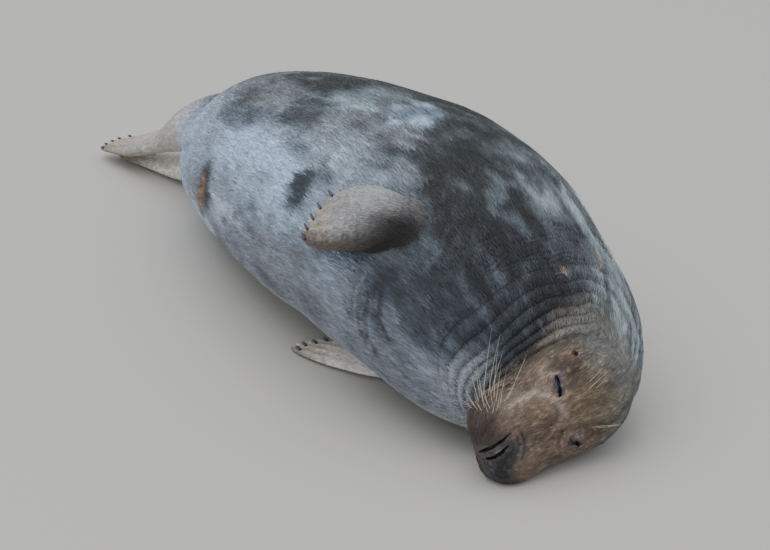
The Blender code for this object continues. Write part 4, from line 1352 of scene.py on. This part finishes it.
LIMB_COAT_START = 0.12                    # share of a flipper that keeps the trunk's coat
is_limb_part = (is_limb & (share > LIMB_COAT_START)) | on_tail
ZONES = {"rump": (0.0, 0.36), "hips": (0.36, 0.58), "flank": (0.58, 0.80),
         "chest": (0.80, 1.02), "shoulder": (1.02, 1.20), "neck": (1.20, 1.37)}
zone_masks = {name: ((length >= low) & (length < high) & ~is_head & ~is_limb_part).astype(float)
              for name, (low, high) in ZONES.items()}
zone_masks["head"] = (is_head & ~is_limb_part).astype(float)
zone_masks["limbs"] = is_limb_part.astype(float)
for name, values in {"tint": tint, "wet": np.clip(wet, 0, 1), "lie": lie, "flow": flow,
                     "hair_size": hair_size, "trunk_chart": trunk_chart,
                     "head_chart": head_chart, "limb_chart": limb_chart}.items():
    store(skin_mesh, name, values)
for name, mask in zone_masks.items():
    store(skin_mesh, "grow_" + name, mask * growth)
skin_mesh.update()
print("stored", [a.name for a in skin_mesh.attributes if not a.name.startswith(".")])

# %% [markdown]
# ## Materials
# Shader maths reads best as plain sums, so a small class wraps a socket and
# turns each sum into a Math node. One method makes every other node.

# %% Write sums as nodes
class Value:
    """A number that changes over a surface, with sums written as sums."""

    def __init__(self, recipe, socket):
        self.recipe, self.socket = recipe, socket

    def _sum(self, operation, first, second):
        made = self.recipe.node("ShaderNodeMath", {"operation": operation}, {0: first, 1: second})
        return Value(self.recipe, made.outputs[0])

    def __add__(self, other):
        return self._sum("ADD", self, other)

    def __radd__(self, other):
        return self._sum("ADD", other, self)

    def __sub__(self, other):
        return self._sum("SUBTRACT", self, other)

    def __rsub__(self, other):
        return self._sum("SUBTRACT", other, self)

    def __mul__(self, other):
        return self._sum("MULTIPLY", self, other)

    def __rmul__(self, other):
        return self._sum("MULTIPLY", other, self)


print("sums ready")


# %% Make a recipe of nodes
class Recipe:
    """One material and the nodes that make its finish."""

    def __init__(self, name):
        self.material = bpy.data.materials.new(name)
        self.material.use_nodes = True
        self.tree = self.material.node_tree
        self.surface = self.tree.nodes["Principled BSDF"]

    def node(self, kind, settings=None, inputs=None):
        made = self.tree.nodes.new(kind)
        for key, value in (settings or {}).items():
            setattr(made, key, value)
        for key, value in (inputs or {}).items():
            self.feed(made.inputs[key], value)
        return made

    def feed(self, socket, value):
        if isinstance(value, Value):
            value = value.socket
        if isinstance(value, bpy.types.NodeSocket):
            self.tree.links.new(value, socket)
        else:
            socket.default_value = value

    def set(self, **inputs):
        for key, value in inputs.items():
            self.feed(self.surface.inputs[key.replace("_", " ").title()
                                           .replace("Ior", "IOR")], value)

    def attribute(self, name, output="Vector"):
        return self.node("ShaderNodeAttribute", {"attribute_name": name}).outputs[output]

    def stretched(self, vector, stretch):
        return self.node("ShaderNodeVectorMath", {"operation": "MULTIPLY"},
                         {0: vector, 1: stretch}).outputs[0]

    def noise(self, vector, detail=2.0, roughness=0.5):
        made = self.node("ShaderNodeTexNoise", {}, {
            "Vector": vector, "Scale": 1.0, "Detail": detail, "Roughness": roughness})
        return Value(self, made.outputs[0])

    def scaled(self, colour, amount):
        made = self.node("ShaderNodeVectorMath", {"operation": "SCALE"}, {0: colour})
        self.feed(made.inputs["Scale"], amount)
        return made.outputs[0]

    def blend(self, amount, first, second):
        made = self.node("ShaderNodeMix", {"data_type": "RGBA"})
        for key, value in ((0, amount), (6, first), (7, second)):
            self.feed(made.inputs[key], value)
        return made.outputs[2]

    def ramp(self, value, low, high):
        made = self.node("ShaderNodeMapRange", {"interpolation_type": "SMOOTHSTEP"}, {
            "Value": value, "From Min": low, "From Max": high})
        return Value(self, made.outputs[0])

    def bump(self, height, distance, strength=1.0):
        made = self.node("ShaderNodeBump", {}, {
            "Height": height, "Distance": distance, "Strength": strength})
        return made.outputs[0]


print("recipe ready")


# %% [markdown]
# ### The coat's finish
# Wet seal hair lies in fine strokes with a bluish sheen. The streaks are noise
# drawn out along the flow of the hair, and they lighten the colour, change the
# gloss and make the bump, so that the three agree. The sheen is partly painted:
# the brightest strokes are made brighter and bluer in the base colour.

# %% Mix the finish of skin and coat
HAIR_STRETCH, LOCK_STRETCH = (64.0, 440.0, 0.0), (26.0, 150.0, 0.0)
# Painted sheen: the base colour of the shining strokes is made brighter and bluer.
PAINTED_SHEEN = (2.6, 2.8, 3.1)                  # how much brighter a shining stroke is
TUFT_CONTRAST = 0.58


def coat_finish(name, on_tufts):
    """The wet skin's finish, or the tufts', which adds a shade for each tuft."""
    recipe = Recipe(name)
    flow_way = recipe.attribute("flow")
    colour = recipe.attribute("tint", "Color")
    wetness = Value(recipe, recipe.attribute("wet", "Fac"))
    hair = recipe.noise(recipe.stretched(flow_way, HAIR_STRETCH), 3.0, 0.65)
    lock = recipe.noise(recipe.stretched(flow_way, LOCK_STRETCH), 2.0)
    light = 0.24 + hair * 1.02 + lock * 0.46
    if on_tufts:
        shade = Value(recipe, recipe.attribute("shade", "Fac"))
        light = light + (shade - 0.5) * TUFT_CONTRAST
    shown = recipe.scaled(colour, light)
    # Painted sheen: the brightest strokes of the base colour are lifted towards a bluish silver.
    painted_shine = recipe.ramp(hair * 0.6 + lock * 0.4, 0.52, 0.70) * 0.30
    shown = recipe.blend(painted_shine, shown, recipe.stretched(shown, PAINTED_SHEEN))
    recipe.set(base_color=shown, roughness=0.58 - wetness * 0.36 + (hair - 0.5) * 0.16,
               coat_weight=wetness * 0.5)
    recipe.set(coat_roughness=0.18, sheen_weight=0.05, sheen_roughness=0.45,
               specular_ior_level=0.36)
    if not on_tufts:
        recipe.set(normal=recipe.bump(hair * 0.7 + lock * 0.5, 0.0011, 0.8))
    return recipe.material


skin_finish = coat_finish("wet_skin", False)
tuft_finish = coat_finish("short_hair", True)
skin_mesh.materials.clear()
skin_mesh.materials.append(skin_finish)
skin = new_object("skin", skin_mesh)
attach(skin, "root")
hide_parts("hips", "abdomen", "chest", "shoulders", "neck", "head", "muzzle", "lower_jaw",
            "nose", "tail", "ear_right", "ear_left", *blades)
print("skin shown")

# %% [markdown]
# ## The coat
# Seal hair is short, stiff and flat. Each tuft is a slender leaf of six
# triangles with a raised ridge, rooted under the skin, lying along the hair's
# way with its tip just lifted. Geometry Nodes scatter them, because one tree
# can follow any part of the skin. Hair curves would be lost in an export.

# %% Make one tuft
leaf_mesh = bpy.data.meshes.new("leaf")
leaf_mesh.from_pydata(
    [(-0.10, 0, -0.7), (0.38, -0.5, 0.0), (0.36, 0, 0.75), (0.38, 0.5, 0.0), (1.0, 0, 0.35)], [],
    [(0, 1, 2), (0, 2, 3), (4, 2, 1), (4, 3, 2), (0, 3, 1), (4, 1, 3)])
store(leaf_mesh, "leaf", np.array([(0, .5, 0), (.4, 0, 0), (.4, .5, 0), (.4, 1, 0), (1, .5, 0)]))
leaf_mesh.shade_smooth()
leaf = bpy.data.objects.new("leaf", leaf_mesh)
print("tuft of", len(leaf_mesh.polygons), "triangles")


# %% Build the coat's node tree
SWING, LEAN, SIZES = 0.24, (-0.065, -0.012), (0.72, 1.25)    # radians, radians, shares
MOST_TUFTS = 400000.0                     # to the square metre, more than the spacing allows
PATCH = 0.003                             # how wide a tuft is in the bake chart


def plant_tree():
    """Nodes that scatter tufts over the skin and join them into one mesh."""
    tree = bpy.data.node_groups.new("plant_coat", "GeometryNodeTree")
    sockets = (("Geometry", "Geometry"), ("Tuft", "Object"), ("Growth", "String"),
               ("Chart", "String"), ("Spacing", "Float"), ("Chart Low", "Vector"),
               ("Chart Scale", "Vector"), ("Seed", "Int"), ("Finish", "Material"))
    for name, kind in sockets:
        tree.interface.new_socket(name, in_out="INPUT", socket_type="NodeSocket" + kind)
    tree.interface.new_socket("Geometry", in_out="OUTPUT", socket_type="NodeSocketGeometry")

    def add(kind, settings=None, inputs=None):
        made = tree.nodes.new(kind)
        for key, value in (settings or {}).items():
            setattr(made, key, value)
        for key, value in (inputs or {}).items():
            if isinstance(value, bpy.types.NodeSocket):
                tree.links.new(value, made.inputs[key])
            else:
                made.inputs[key].default_value = value
        return made

    def named(name, kind="FLOAT_VECTOR"):
        return add("GeometryNodeInputNamedAttribute", {"data_type": kind}, {"Name": name}).outputs[0]

    def vector(operation, first, second):
        return add("ShaderNodeVectorMath", {"operation": operation},
                   {0: first, 1: second}).outputs[0]

    def chance(low, high, number):
        return add("FunctionNodeRandomValue", {"data_type": "FLOAT"},
                   {2: low, 3: high, 8: number}).outputs[1]

    given = add("NodeGroupInput").outputs
    spread = add("GeometryNodeDistributePointsOnFaces", {"distribute_method": "POISSON"}, {
        "Mesh": given["Geometry"], "Distance Min": given["Spacing"], "Density Max": MOST_TUFTS,
        "Density Factor": named(given["Growth"], "FLOAT"), "Seed": given["Seed"]})
    outwards = spread.outputs["Normal"]
    swing = add("ShaderNodeVectorRotate", {"rotation_type": "AXIS_ANGLE"}, {
        "Vector": named("lie"), "Axis": outwards, "Angle": chance(-SWING, SWING, 1)}).outputs[0]
    facing = add("FunctionNodeAxesToRotation", {"primary_axis": "Z", "secondary_axis": "X"},
                 {0: outwards, 1: swing}).outputs[0]
    lean = add("ShaderNodeCombineXYZ", {}, {"Y": chance(*LEAN, 2)}).outputs[0]
    turned = add("FunctionNodeRotateRotation", {"rotation_space": "LOCAL"},
                 {0: facing, 1: lean}).outputs[0]
    size = add("ShaderNodeVectorMath", {"operation": "SCALE"},
               {0: named("hair_size"), "Scale": chance(*SIZES, 3)}).outputs[0]
    shaded = add("GeometryNodeStoreNamedAttribute", {"data_type": "FLOAT", "domain": "POINT"}, {
        "Geometry": spread.outputs["Points"], "Name": "shade", "Value": chance(0.0, 1.0, 4)})
    tuft = add("GeometryNodeObjectInfo", {}, {"Object": given["Tuft"]}).outputs["Geometry"]
    planted = add("GeometryNodeInstanceOnPoints", {}, {
        "Points": shaded.outputs[0], "Instance": tuft, "Rotation": turned, "Scale": size})
    joined = add("GeometryNodeRealizeInstances", {}, {"Geometry": planted.outputs[0]}).outputs[0]
    root = vector("MULTIPLY", vector("SUBTRACT", named(given["Chart"]), given["Chart Low"]),
                  given["Chart Scale"])
    patch = vector("MULTIPLY", vector("SUBTRACT", named("leaf"), (0.5, 0.5, 0.0)),
                   (PATCH, PATCH, 0.0))
    mapped = add("GeometryNodeStoreNamedAttribute", {"data_type": "FLOAT2", "domain": "CORNER"}, {
        "Geometry": joined, "Name": "OFBake", "Value": vector("ADD", root, patch)})
    finished = add("GeometryNodeSetMaterial", {}, {
        "Geometry": mapped.outputs[0], "Material": given["Finish"]})
    leaving = add("NodeGroupOutput")
    tree.links.new(finished.outputs[0], leaving.inputs[0])
    return tree


coat_tree = plant_tree()
print("coat tree of", len(coat_tree.nodes), "nodes")


# %% [markdown]
# ### Planting
# The coat is one piece for each stretch of the body, which keeps every mesh to
# a moderate size. Every piece carries its own bake chart, where a tuft lies as
# a small patch at its root's place.

# %% Plant the coat, piece by piece
LOWEST_TUFT = 0.0004
SKIN_ONLY = ("lie", "hair_size", "leaf")


def plant(zone, spacing, chart, low, scale):
    """One piece of the coat: tufts on a zone of the skin, charted for the bake."""
    carrier = new_object("coat_" + zone, skin_mesh.copy())
    sower = carrier.modifiers.new("plant", "NODES")
    sower.node_group = coat_tree
    names = {item.name: item.identifier for item in coat_tree.interface.items_tree
             if item.in_out == "INPUT"}
    for name, value in (("Tuft", leaf), ("Growth", "grow_" + zone), ("Chart", chart),
                        ("Spacing", spacing), ("Chart Low", low), ("Chart Scale", scale),
                        ("Seed", 5), ("Finish", tuft_finish)):
        sower[names[name]] = value
    grown = evaluated_mesh(carrier)
    carrier.modifiers.clear()
    bare, carrier.data = carrier.data, grown
    bpy.data.meshes.remove(bare)
    tuft_points = points_of(grown)
    tuft_points[:, 2] = np.maximum(tuft_points[:, 2], LOWEST_TUFT)
    put_points(grown, tuft_points)
    grown.name = "coat_" + zone
    for name in [a.name for a in grown.attributes]:
        if name in SKIN_ONLY or name.endswith("_chart") or name.startswith("grow_"):
            grown.attributes.remove(grown.attributes[name])
    grown.shade_smooth()
    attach(carrier, "root")
    print(carrier.name, len(grown.polygons), "triangles")
    return carrier


ROOM = 1.0
BODY_SPACING, FACE_SPACING, LIMB_SPACING = 0.0027 * ROOM, 0.0019 * ROOM, 0.0021 * ROOM
coat = [plant(zone, BODY_SPACING, "trunk_chart", (low - 0.006, -0.005, 0.0),
              (1 / (high - low + 0.014), 0.99, 0.0))
        for zone, (low, high) in ZONES.items()]
coat += [
    plant("head", FACE_SPACING, "head_chart", (-0.005, -0.005, 0.0), (1 / 0.345, 0.99, 0.0)),
    plant("limbs", LIMB_SPACING, "limb_chart", (0.0, 0.0, 0.0), (1.0, 1.0, 0.0))]
print("coat", sum(len(piece.data.polygons) for piece in coat), "triangles")

# %% [markdown]
# ## Eyes
# Behind the lids each eye is a round dark ball with a clear front. It sits
# deep, so that only a thin wet line shows. A sphere is its true shape, and its
# finish has a coat as clear as water.

# %% Set the eyeballs
eye_recipe = Recipe("dark_eye")
eye_place = eye_recipe.node("ShaderNodeTexCoord").outputs["Object"]
cloud = eye_recipe.noise(eye_recipe.stretched(eye_place, (160.0, 160.0, 160.0)), 3.0)
dark_water, dark_iris = (0.004, 0.005, 0.010, 1), (0.016, 0.020, 0.036, 1)
eye_recipe.set(base_color=eye_recipe.blend(cloud, dark_water, dark_iris),
               roughness=0.16 + cloud * 0.08, coat_weight=1.0, coat_roughness=0.05)
EYE_RADIUS, EYE_DEPTH = 0.0175, 0.0028
for side, (middle, way, across, outwards) in lid_frames.items():
    ball = bmesh.new()
    bmesh.ops.create_uvsphere(ball, u_segments=40, v_segments=24, radius=EYE_RADIUS)
    centre = middle - outwards * (EYE_RADIUS + EYE_DEPTH) + np.array(ORIGIN)
    bmesh.ops.translate(ball, verts=ball.verts, vec=Vector(centre))
    ball_mesh = bpy.data.meshes.new("eyeball_" + side)
    ball.to_mesh(ball_mesh)
    ball.free()
    ball_mesh.shade_smooth()
    ball_mesh.materials.append(eye_recipe.material)
    eyeball = new_object("eyeball_" + side, ball_mesh)
    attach(eyeball, "root")
    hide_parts("eye_" + side)
print("eyeballs set", EYE_DEPTH, "under the lids")

# %% [markdown]
# ## Claws
# The imported claws have the right places and curves but few faces, so each is
# copied, its loose triangles merged, and rounded with a subdivision surface.
# Horn is bluish black with fine grain along it and paler patches.

# %% Round the claws
horn = Recipe("claw_horn_finish")
horn_place = horn.node("ShaderNodeTexCoord").outputs["Object"]
grain = horn.noise(horn.stretched(horn_place, (900.0, 260.0, 260.0)), 3.0)
patches = horn.noise(horn.stretched(horn_place, (90.0, 90.0, 90.0)), 2.0)
horn.set(base_color=horn.blend(grain * 0.6 + patches * 0.4, (0.012, 0.016, 0.030, 1),
                               (0.075, 0.085, 0.115, 1)),
         roughness=0.26 + grain * 0.22, normal=horn.bump(grain, 0.0003, 0.6))
for limb_name in ("foreclaw_right", "foreclaw_left", "hindclaw_right", "hindclaw_left"):
    nodes = [name for name in CLAWS if name.startswith(limb_name)]
    merged = bmesh.new()
    for node_name in nodes:
        merged.from_mesh(bpy.data.objects[node_name].data)
    bmesh.ops.remove_doubles(merged, verts=merged.verts, dist=0.00002)
    bmesh.ops.recalc_face_normals(merged, faces=merged.faces)
    claw_mesh = bpy.data.meshes.new(limb_name)
    merged.to_mesh(claw_mesh)
    merged.free()
    claws = new_object(limb_name + "_set", claw_mesh)
    rounding = claws.modifiers.new("round", "SUBSURF")
    rounding.levels = rounding.render_levels = 1
    smooth_mesh = evaluated_mesh(claws)
    claws.modifiers.clear()
    claws.data = smooth_mesh
    smooth_mesh.materials.clear()
    smooth_mesh.materials.append(horn.material)
    smooth_mesh.shade_smooth()
    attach(claws, "root")
    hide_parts(*nodes)
print("claws rounded")

# %% [markdown]
# ## Whiskers
# Whiskers are long, cream and stiff, thick at the root, and they sweep back
# over the cheek. A few stand over each eye. Each is a thin tapered tube along
# a bent line, which a curve object could also give.

# %% Shape a whisker
luck = np.random.default_rng(23)
THINNING = 0.85                           # how much thinner a whisker's tip is


def whisker(start, way, bend, reach, radius, sides=5, rings=11):
    """A tapered tube from start that turns from one way towards another."""
    share_along = np.linspace(0, 1, rings)[:, None]
    middle = start + reach * (way * share_along + 0.5 * bend * share_along ** 2)
    heading = unit(way + bend * share_along)
    side_way = unit(np.cross(heading, np.array((0.31, 0.17, 0.93))))
    other_way = np.cross(heading, side_way)
    turn = np.linspace(0, 2 * np.pi, sides, endpoint=False)
    size = radius * (1 - THINNING * share_along)
    ring_points = [middle + size * (side_way * np.cos(t) + other_way * np.sin(t)) for t in turn]
    return closed_tube(np.stack(ring_points, axis=1), start, middle[-1] + heading[-1] * 0.001)


def skin_at(place):
    """The skin's point nearest to a place, and the way out of the skin there."""
    index = skin_tree.find(place)[1]
    return points[index], normals[index]


print("whisker roots", len(WHISKER_ROOTS))

# %% Grow the whiskers
strands, roots = [], iter(WHISKER_ROOTS)
for side in (1, -1):
    for row in range(ROWS):
        for column in range(COLUMNS):
            start, outwards = skin_at(next(roots))
            grow = 0.55 + 0.45 * luck.random()
            reach = (0.036 + 0.0150 * column) * grow * (1.15 - 0.10 * row)
            back = -HEAD_FORWARD * (0.55 + 0.10 * column)
            way = unit(outwards * 0.85 + back * 0.6 - HEAD_UP * 0.25
                       + luck.normal(0, 0.10, 3))
            bend = back * 0.7 - HEAD_UP * (0.30 + 0.3 * luck.random()) + luck.normal(0, 0.08, 3)
            end = start + reach * (way + 0.5 * bend)
            if end[2] > 0.012 and start[2] > 0.008 and luck.random() > 0.25:
                strands.append(whisker(start - outwards * 0.002, way, bend, reach, 0.00050))
BROWS = [((0.198, 0.075, 0.033), 0.050), ((0.205, 0.074, 0.040), 0.034),
         ((0.190, 0.072, -0.041), 0.045), ((0.196, 0.073, -0.050), 0.032),
         ((0.218, 0.075, -0.054), 0.030), ((0.212, 0.078, 0.026), 0.026)]
for place, reach in BROWS:
    start, outwards = skin_at(in_head(*place))
    way = unit(outwards * 0.45 - HEAD_FORWARD * 0.8 + HEAD_RIGHT * (0.45 if place[2] > 0 else -0.1))
    strands.append(whisker(start - outwards * 0.002, way, -HEAD_FORWARD * 0.3, reach, 0.00055))
print("whiskers", len(strands))

# %% Join the whiskers into one piece
all_points = np.concatenate([p for p, _ in strands])
starts = np.cumsum([0] + [len(p) for p, _ in strands[:-1]])
all_faces = [[v + int(first) for v in face] for first, (_, faces) in zip(starts, strands)
             for face in faces]
whisker_mesh = mesh_from("whiskers", all_points, all_faces)
tidy_up = bmesh.new()
tidy_up.from_mesh(whisker_mesh)
bmesh.ops.recalc_face_normals(tidy_up, faces=tidy_up.faces)
tidy_up.to_mesh(whisker_mesh)
tidy_up.free()
whisker_mesh.shade_smooth()
cream_hair = Recipe("whisker_hair")
hair_place = cream_hair.node("ShaderNodeTexCoord").outputs["Object"]
patch = cream_hair.noise(cream_hair.stretched(hair_place, (120.0, 120.0, 120.0)), 2.0)
cream_hair.set(base_color=cream_hair.blend(patch, (0.42, 0.38, 0.28, 1), (0.88, 0.83, 0.68, 1)),
               roughness=0.34 + patch * 0.12)
whisker_mesh.materials.append(cream_hair.material)
whiskers = new_object("whiskers", whisker_mesh)
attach(whiskers, "root")
print("whisker points", len(all_points))

# %% [markdown]
# ## Floor and light
# A plain pale floor and one large soft light stand for an overcast sky, with
# enough light from all round that the shaded side still reads.

# %% Light the model
ground = Recipe("pale_floor")
ground.set(base_color=(0.53, 0.515, 0.49, 1.0), roughness=0.9)
floor_mesh = bpy.data.meshes.new("floor")
floor_mesh.from_pydata([(-12, -12, 0), (12, -12, 0), (12, 12, 0), (-12, 12, 0)], [],
                       [(0, 1, 2, 3)])
floor_mesh.materials.append(ground.material)
floor = new_object("floor", floor_mesh)
world = bpy.data.worlds.new("soft_sky")
world.use_nodes = True
sky = world.node_tree.nodes["Background"].inputs
sky["Color"].default_value, sky["Strength"].default_value = (0.92, 0.96, 1.0, 1.0), 0.88
bpy.context.scene.world = world
cloud_light = bpy.data.lights.new("cloud", "AREA")
cloud_light.energy, cloud_light.size = 145.0, 5.0
cloud_light.color = (1.0, 0.98, 0.95)
cloud_lamp = bpy.data.objects.new("cloud", cloud_light)
cloud_lamp.location = aim + Vector((-0.2, -0.6, 4.6))
cloud_lamp.rotation_euler = (cloud_lamp.location - aim).to_track_quat("Z", "Y").to_euler()
bpy.context.scene.collection.objects.link(cloud_lamp)
print("light set")
